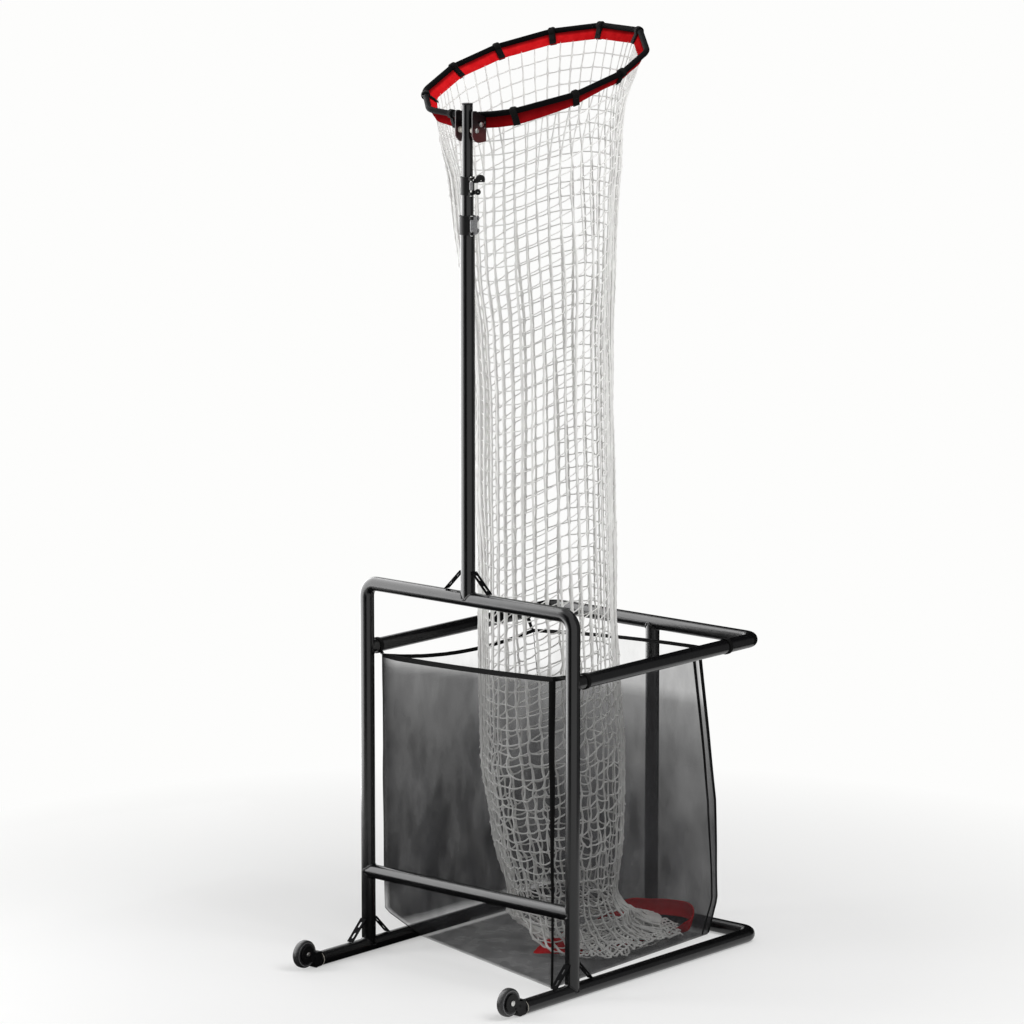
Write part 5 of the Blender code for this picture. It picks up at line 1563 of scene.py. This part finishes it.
def buildCloth():
    across, up = basket["across"], basket["up"]
    count = across * 4
    shape = newShape()
    points, faces, covers = shape["points"], shape["faces"], []
    for level in range(up + 1):
        share = level / up
        for sideIndex in range(4):
            for step in range(across):
                points.append(basketPoint(sideIndex, step / across, share))
                covers.append(sideCover(sideIndex, step / across, share))
    for level in range(up):
        for i in range(count):
            j = (i + 1) % count
            a, b = level * count, (level + 1) * count
            faces.append((a + i, a + j, b + j, b + i))
    inner = {}      # the floor, filled in as a grid between its four edges

    def floorIndex(u, v):
        if v == 0:
            return u
        if u == across:
            return across + v
        if v == across:
            return 2 * across + (across - u)
        if u == 0:
            return (3 * across + (across - v)) % count
        return inner[(u, v)]

    for u in range(1, across):
        for v in range(1, across):
            left, right = points[floorIndex(0, v)], points[floorIndex(across, v)]
            low, high = points[floorIndex(u, 0)], points[floorIndex(u, across)]
            s, t = u / across, v / across
            corners = points[0] * (1 - s) * (1 - t) + points[across] * s * (1 - t)
            corners += points[2 * across] * s * t + points[3 * across] * (1 - s) * t
            point = left.lerp(right, s) + low.lerp(high, t) - corners
            point.z += 1.2 * mm * (noise.noise(Vector((s * 6, t * 6, 77))) + 0.2)
            point.z = max(point.z, 1.6 * mm)
            inner[(u, v)] = len(points)
            points.append(point)
            covers.append(basket["floorCover"])
    for u in range(across):
        for v in range(across):
            ring = ((u, v), (u, v + 1), (u + 1, v + 1), (u + 1, v))
            faces.append(tuple(floorIndex(*corner) for corner in ring))
    cloth = addPiece("basketCloth", shape, "black_mesh_cloth", 180)
    pointValues(cloth, "cover", covers)
    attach(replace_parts(cloth, "basket_cloth"), "frame")
    return cloth


def buildBinding():
    # a folded tape on the rim, taller where it passes from one side's height to the next
    heights = [basket["bindingHeight"][side] for side, first, second in basket["sides"]]
    half, ease, across = basket["binding"] / 2, 0.9 * mm, basket["across"]
    rings = []
    for sideIndex in range(4):
        for step in range(across):
            along = step / across
            point = basketPoint(sideIndex, along, 1.0)
            share = smoothStep(along, 0.0, 0.10)
            tall = heights[sideIndex - 1] + (heights[sideIndex] - heights[sideIndex - 1]) * share
            ahead = basketPoint(sideIndex, along + 0.01, 1.0) - point
            out = Vector((ahead.y, -ahead.x, 0)).normalized()
            wobble = 0.5 * mm * noise.noise(Vector((point.x * 60, point.y * 60, 3)))
            low, high = 3.2 * mm - tall + wobble, 3.2 * mm + wobble
            waist = (low + high) / 2
            section = [
                (half, low + ease), (half * 0.8, waist), (half, high - ease), (half - ease, high),
                (ease - half, high), (-half, high - ease), (-half * 0.8, waist), (-half, low + ease),
                (ease - half, low), (half - ease, low),
            ]
            rings.append([point + out * x + Vector((0, 0, z)) for x, z in section])
    shape = newShape()
    addRings(shape, rings, closed=True)
    binding = addPiece("basketBinding", shape, "black_webbing")
    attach(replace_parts(binding, "basket_binding"), "frame")
    return binding


def buildSeams():
    # flat tapes up the corners, wider towards the rim
    seams, steps = [], 44
    for name, corner, atRim, atFloor, shift in basket["seams"]:
        path, radii = [], []
        for step in range(steps + 1):
            share = 0.005 + 0.985 * step / steps
            bend = noise.noise(Vector((share * 3.1, len(seams) * 9.0, 2.0)))
            bend = 5 * mm * bend * math.sin(math.pi * share)
            path.append(basketCorner(corner, share) + Vector((bend, bend - shift, 0)))
            radii.append(atFloor + (atRim - atFloor) * smoothStep(step / steps, 0.10, 1.0))
        inward = Vector((-1 if "Right" in corner else 1, 1, 0)).normalized()
        shape = newShape()
        addTube(shape, path, radii, 8, outward=[inward] * len(path), flat=0.35)
        seam = addPiece(name, shape, "black_webbing")
        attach(seam, "frame")
        seams.append(seam)
    return seams


def buildBasket():
    cloth = buildCloth()
    binding = buildBinding()
    seams = buildSeams()


loops = {
    "places": {
        # the basket's corner, the side of the frame that its loop hangs from, and the loop's middle in Y
        "front_left": ("frontLeft", -1, 38 * mm),
        "front_right": ("frontRight", 1, 44 * mm),
        "back_right": ("backRight", 1, 634 * mm),
        "back_left": ("backLeft", -1, 650 * mm),
    },
    "halfWidth": 6 * mm,
    "web": 1.7 * mm,
}


def buildLoops():
    # a turn of webbing round the basket rail, and a doubled and stitched tail to the basket's rim
    half, web = loops["halfWidth"], loops["web"]
    inner = frameTube["radius"] + 0.7 * mm
    outer = inner + web
    section = [
        (inner, -half + 0.4 * mm), (inner + 0.3 * mm, -half), (outer - 0.4 * mm, -half),
        (outer, -half + 0.5 * mm), (outer + 0.2 * mm, 0), (outer, half - 0.5 * mm),
        (outer - 0.4 * mm, half), (inner + 0.3 * mm, half), (inner, half - 0.4 * mm),
    ]
    for word, (corner, hand, y) in loops["places"].items():
        place = Vector((hand * frameTube["width"] / 2, y, frameTube["basketRail"]))
        shape = newShape()
        addTurned(shape, section, place, (0, 1, 0), 40)
        line = basketCorner(corner, 1.0) - place
        line.y = 0.0
        way = line.normalized()
        thin = Vector((0, 1, 0)).cross(way)
        start, finish = inner + web * 0.5, line.length - 3 * mm
        doubled = start + 0.45 * (finish - start)
        for near, far, thick in ((start, finish, 1.8 * mm), (start + 2 * mm, doubled, 3.4 * mm)):
            outline = [(near, -half), (far, -half), (far, half), (near, half)]
            addSlab(shape, outline, place, way, (0, 1, 0), thick, 0.5 * mm)
        for step in range(4):       # rows of stitches across the doubled part
            at = place + way * (start + 4 * mm + step * 3 * mm)
            for face in (-1, 1):
                ends = [at + thin * face * 1.7 * mm + Vector((0, end * half * 0.8, 0)) for end in (-1, 1)]
                addTube(shape, ends, 0.5 * mm, 6)
        piece = addPiece("basketLoop" + word.title().replace("_", ""), shape, "black_webbing")
        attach(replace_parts(piece, f"basket_loop_{word}"), "frame")


buildBasket()
buildLoops()
print("basket done")


# Floor, lamps, gloss cards and camera

stage = {
    "lens": 167.67,             # on a 36 mm sensor
    "camera": (8.0702, -9.4291, 3.4024),
    "cameraDown": 10.0204,
    "cameraTurn": 40.773,
    "fade": (1.0, 2.3),         # metres from the middle where the lit floor turns into plain white
    "world": 0.46,              # what the white room gives as light
    "lamps": {
        # place, target, size and radiance of each softbox
        "overheadSoftbox": ((2.9, 0.1, 3.9), (0, 0, 0.7), (2.4, 2.4), 5.0),
        "sideStrip": ((-1.75, -2.05, 1.25), (0, -0.24, 1.15), (0.95, 2.5), 4.4),
    },
    "cards": {
        # cards that only gloss sees: from and to in degrees round the mast, bottom, top, colour and strength
        "frontFlag": (-106, -64, 0.0, 3.2, "#0a0a0a", 1.0),
        "rightFlag": (14, 62, 0.0, 3.2, "#7a7a7a", 1.0),
        "backFlag": (62, 128, 0.0, 3.2, "#0a0a0a", 1.0),
        "leftCard": (150, 236, 0.0, 5.2, "#ffffff", 5.5),
    },
    "cardReach": 2.1,
    "floorCard": (-1.2, -1.0, 0.3, 0.4, 0.004),     # from, to and height of a black card below the front
}


def whiteToSight(tree):
    # one for the camera and for what gloss and glass show of the background, and nought for light
    path = addNode(tree, "ShaderNodeLightPath").outputs
    seen = path["Is Camera Ray"]
    for ray in ("Is Glossy Ray", "Is Transmission Ray"):
        seen = addNode(tree, "ShaderNodeMath", {"operation": "MAXIMUM"}, {0: seen, 1: path[ray]}).outputs[0]
    return seen


def addSheet(name, points, faces, material):
    # a plain surface of the studio
    mesh = bpy.data.meshes.new(name)
    mesh.from_pydata(points, [], faces)
    mesh.materials.append(material)
    surface = bpy.data.objects.new(name, mesh)
    bpy.context.scene.collection.objects.link(surface)
    return surface


def buildFloor():
    # white paper, which turns into plain white to the camera away from the object
    material, tree, shader, place = newMaterial("whitePaperFloor")
    setInputs(shader, {"Base Color": linear("#f7f7f7"), "Roughness": 0.9, "Specular IOR Level": 0.1})
    glow = addNode(tree, "ShaderNodeEmission", inputs={"Color": linear("#fdfdfc"), "Strength": 1.0})
    away = addNode(tree, "ShaderNodeVectorMath", {"operation": "LENGTH"}, {0: place}).outputs["Value"]
    near, far = stage["fade"]
    limits = {"Value": away, "From Min": near, "From Max": far, "To Min": 0.35}
    fade = addNode(tree, "ShaderNodeMapRange", inputs=limits).outputs[0]
    share = addNode(tree, "ShaderNodeMath", {"operation": "MULTIPLY"}, {0: fade, 1: whiteToSight(tree)})
    layers = {0: share.outputs[0], 1: shader.outputs[0], 2: glow.outputs[0]}
    mixed = addNode(tree, "ShaderNodeMixShader", inputs=layers)
    tree.links.new(mixed.outputs[0], tree.nodes["Material Output"].inputs["Surface"])
    reach = 80
    corners = [(-reach, -reach, 0), (reach, -reach, 0), (reach, reach, 0), (-reach, reach, 0)]
    addSheet("studioFloor", corners, [(0, 1, 2, 3)], material)


def addLamp(name, place, target, size, radiance):
    lamp = bpy.data.lights.new(name, "AREA")
    lamp.shape = "RECTANGLE"
    lamp.size, lamp.size_y = size
    lamp.energy = radiance * math.pi * size[0] * size[1]
    holder = bpy.data.objects.new(name, lamp)
    holder.location = place
    holder.rotation_euler = (Vector(target) - Vector(place)).to_track_quat("-Z", "Y").to_euler()
    holder.visible_camera = False
    holder.visible_glossy = False       # the cards below are what gloss sees
    bpy.context.scene.collection.objects.link(holder)


def placeCard(name, points, faces, hexColour, strength):
    # a card that only gloss sees. It takes no light from the object and throws no shadow.
    material, tree, shader, place = newMaterial(name + "Paper")
    glow = addNode(tree, "ShaderNodeEmission", inputs={"Color": linear(hexColour), "Strength": strength})
    tree.links.new(glow.outputs[0], tree.nodes["Material Output"].inputs["Surface"])
    card = addSheet(name, [footprintShift + Vector(point) for point in points], faces, material)
    card.visible_camera = False
    card.visible_diffuse = False
    card.visible_transmission = False
    card.visible_shadow = False


def addCard(name, start, finish, low, high, hexColour, strength):
    # a card curved round the mast
    steps, points = 12, []
    for step in range(steps + 1):
        turn = math.radians(start + (finish - start) * step / steps)
        x, y = stage["cardReach"] * math.cos(turn), stage["cardReach"] * math.sin(turn)
        points += [(x, y, low), (x, y, high)]
    faces = [(2 * step, 2 * step + 2, 2 * step + 3, 2 * step + 1) for step in range(steps)]
    placeCard(name, points, faces, hexColour, strength)


def addFloorCard():
    x0, y0, x1, y1, level = stage["floorCard"]
    corners = [(x0, y0, level), (x1, y0, level), (x1, y1, level), (x0, y1, level)]
    placeCard("floorCard", corners, [(0, 1, 2, 3)], "#0a0a0a", 1.0)


def buildWorld():
    world = bpy.data.worlds.new("studio")
    bpy.context.scene.world = world
    world.use_nodes = True
    tree = world.node_tree
    light = {"Value": whiteToSight(tree), "To Min": stage["world"], "To Max": 1.0}
    strength = addNode(tree, "ShaderNodeMapRange", inputs=light).outputs[0]
    setInputs(tree.nodes["Background"], {"Color": (1, 1, 1, 1), "Strength": strength})


def buildCamera():
    data = bpy.data.cameras.new("view")
    data.lens = stage["lens"]
    data.sensor_width = 36
    data.clip_end = 200
    camera = bpy.data.objects.new("view", data)
    camera.location = stage["camera"]
    camera.rotation_euler = (math.radians(90 - stage["cameraDown"]), 0, math.radians(stage["cameraTurn"]))
    bpy.context.scene.collection.objects.link(camera)
    bpy.context.scene.camera = camera


buildFloor()
buildWorld()
for name, settings in stage["lamps"].items():
    addLamp(name, *settings)
for name, settings in stage["cards"].items():
    addCard(name, *settings)
addFloorCard()
buildCamera()
bpy.context.scene.view_settings.view_transform = "Standard"
print("stage done")
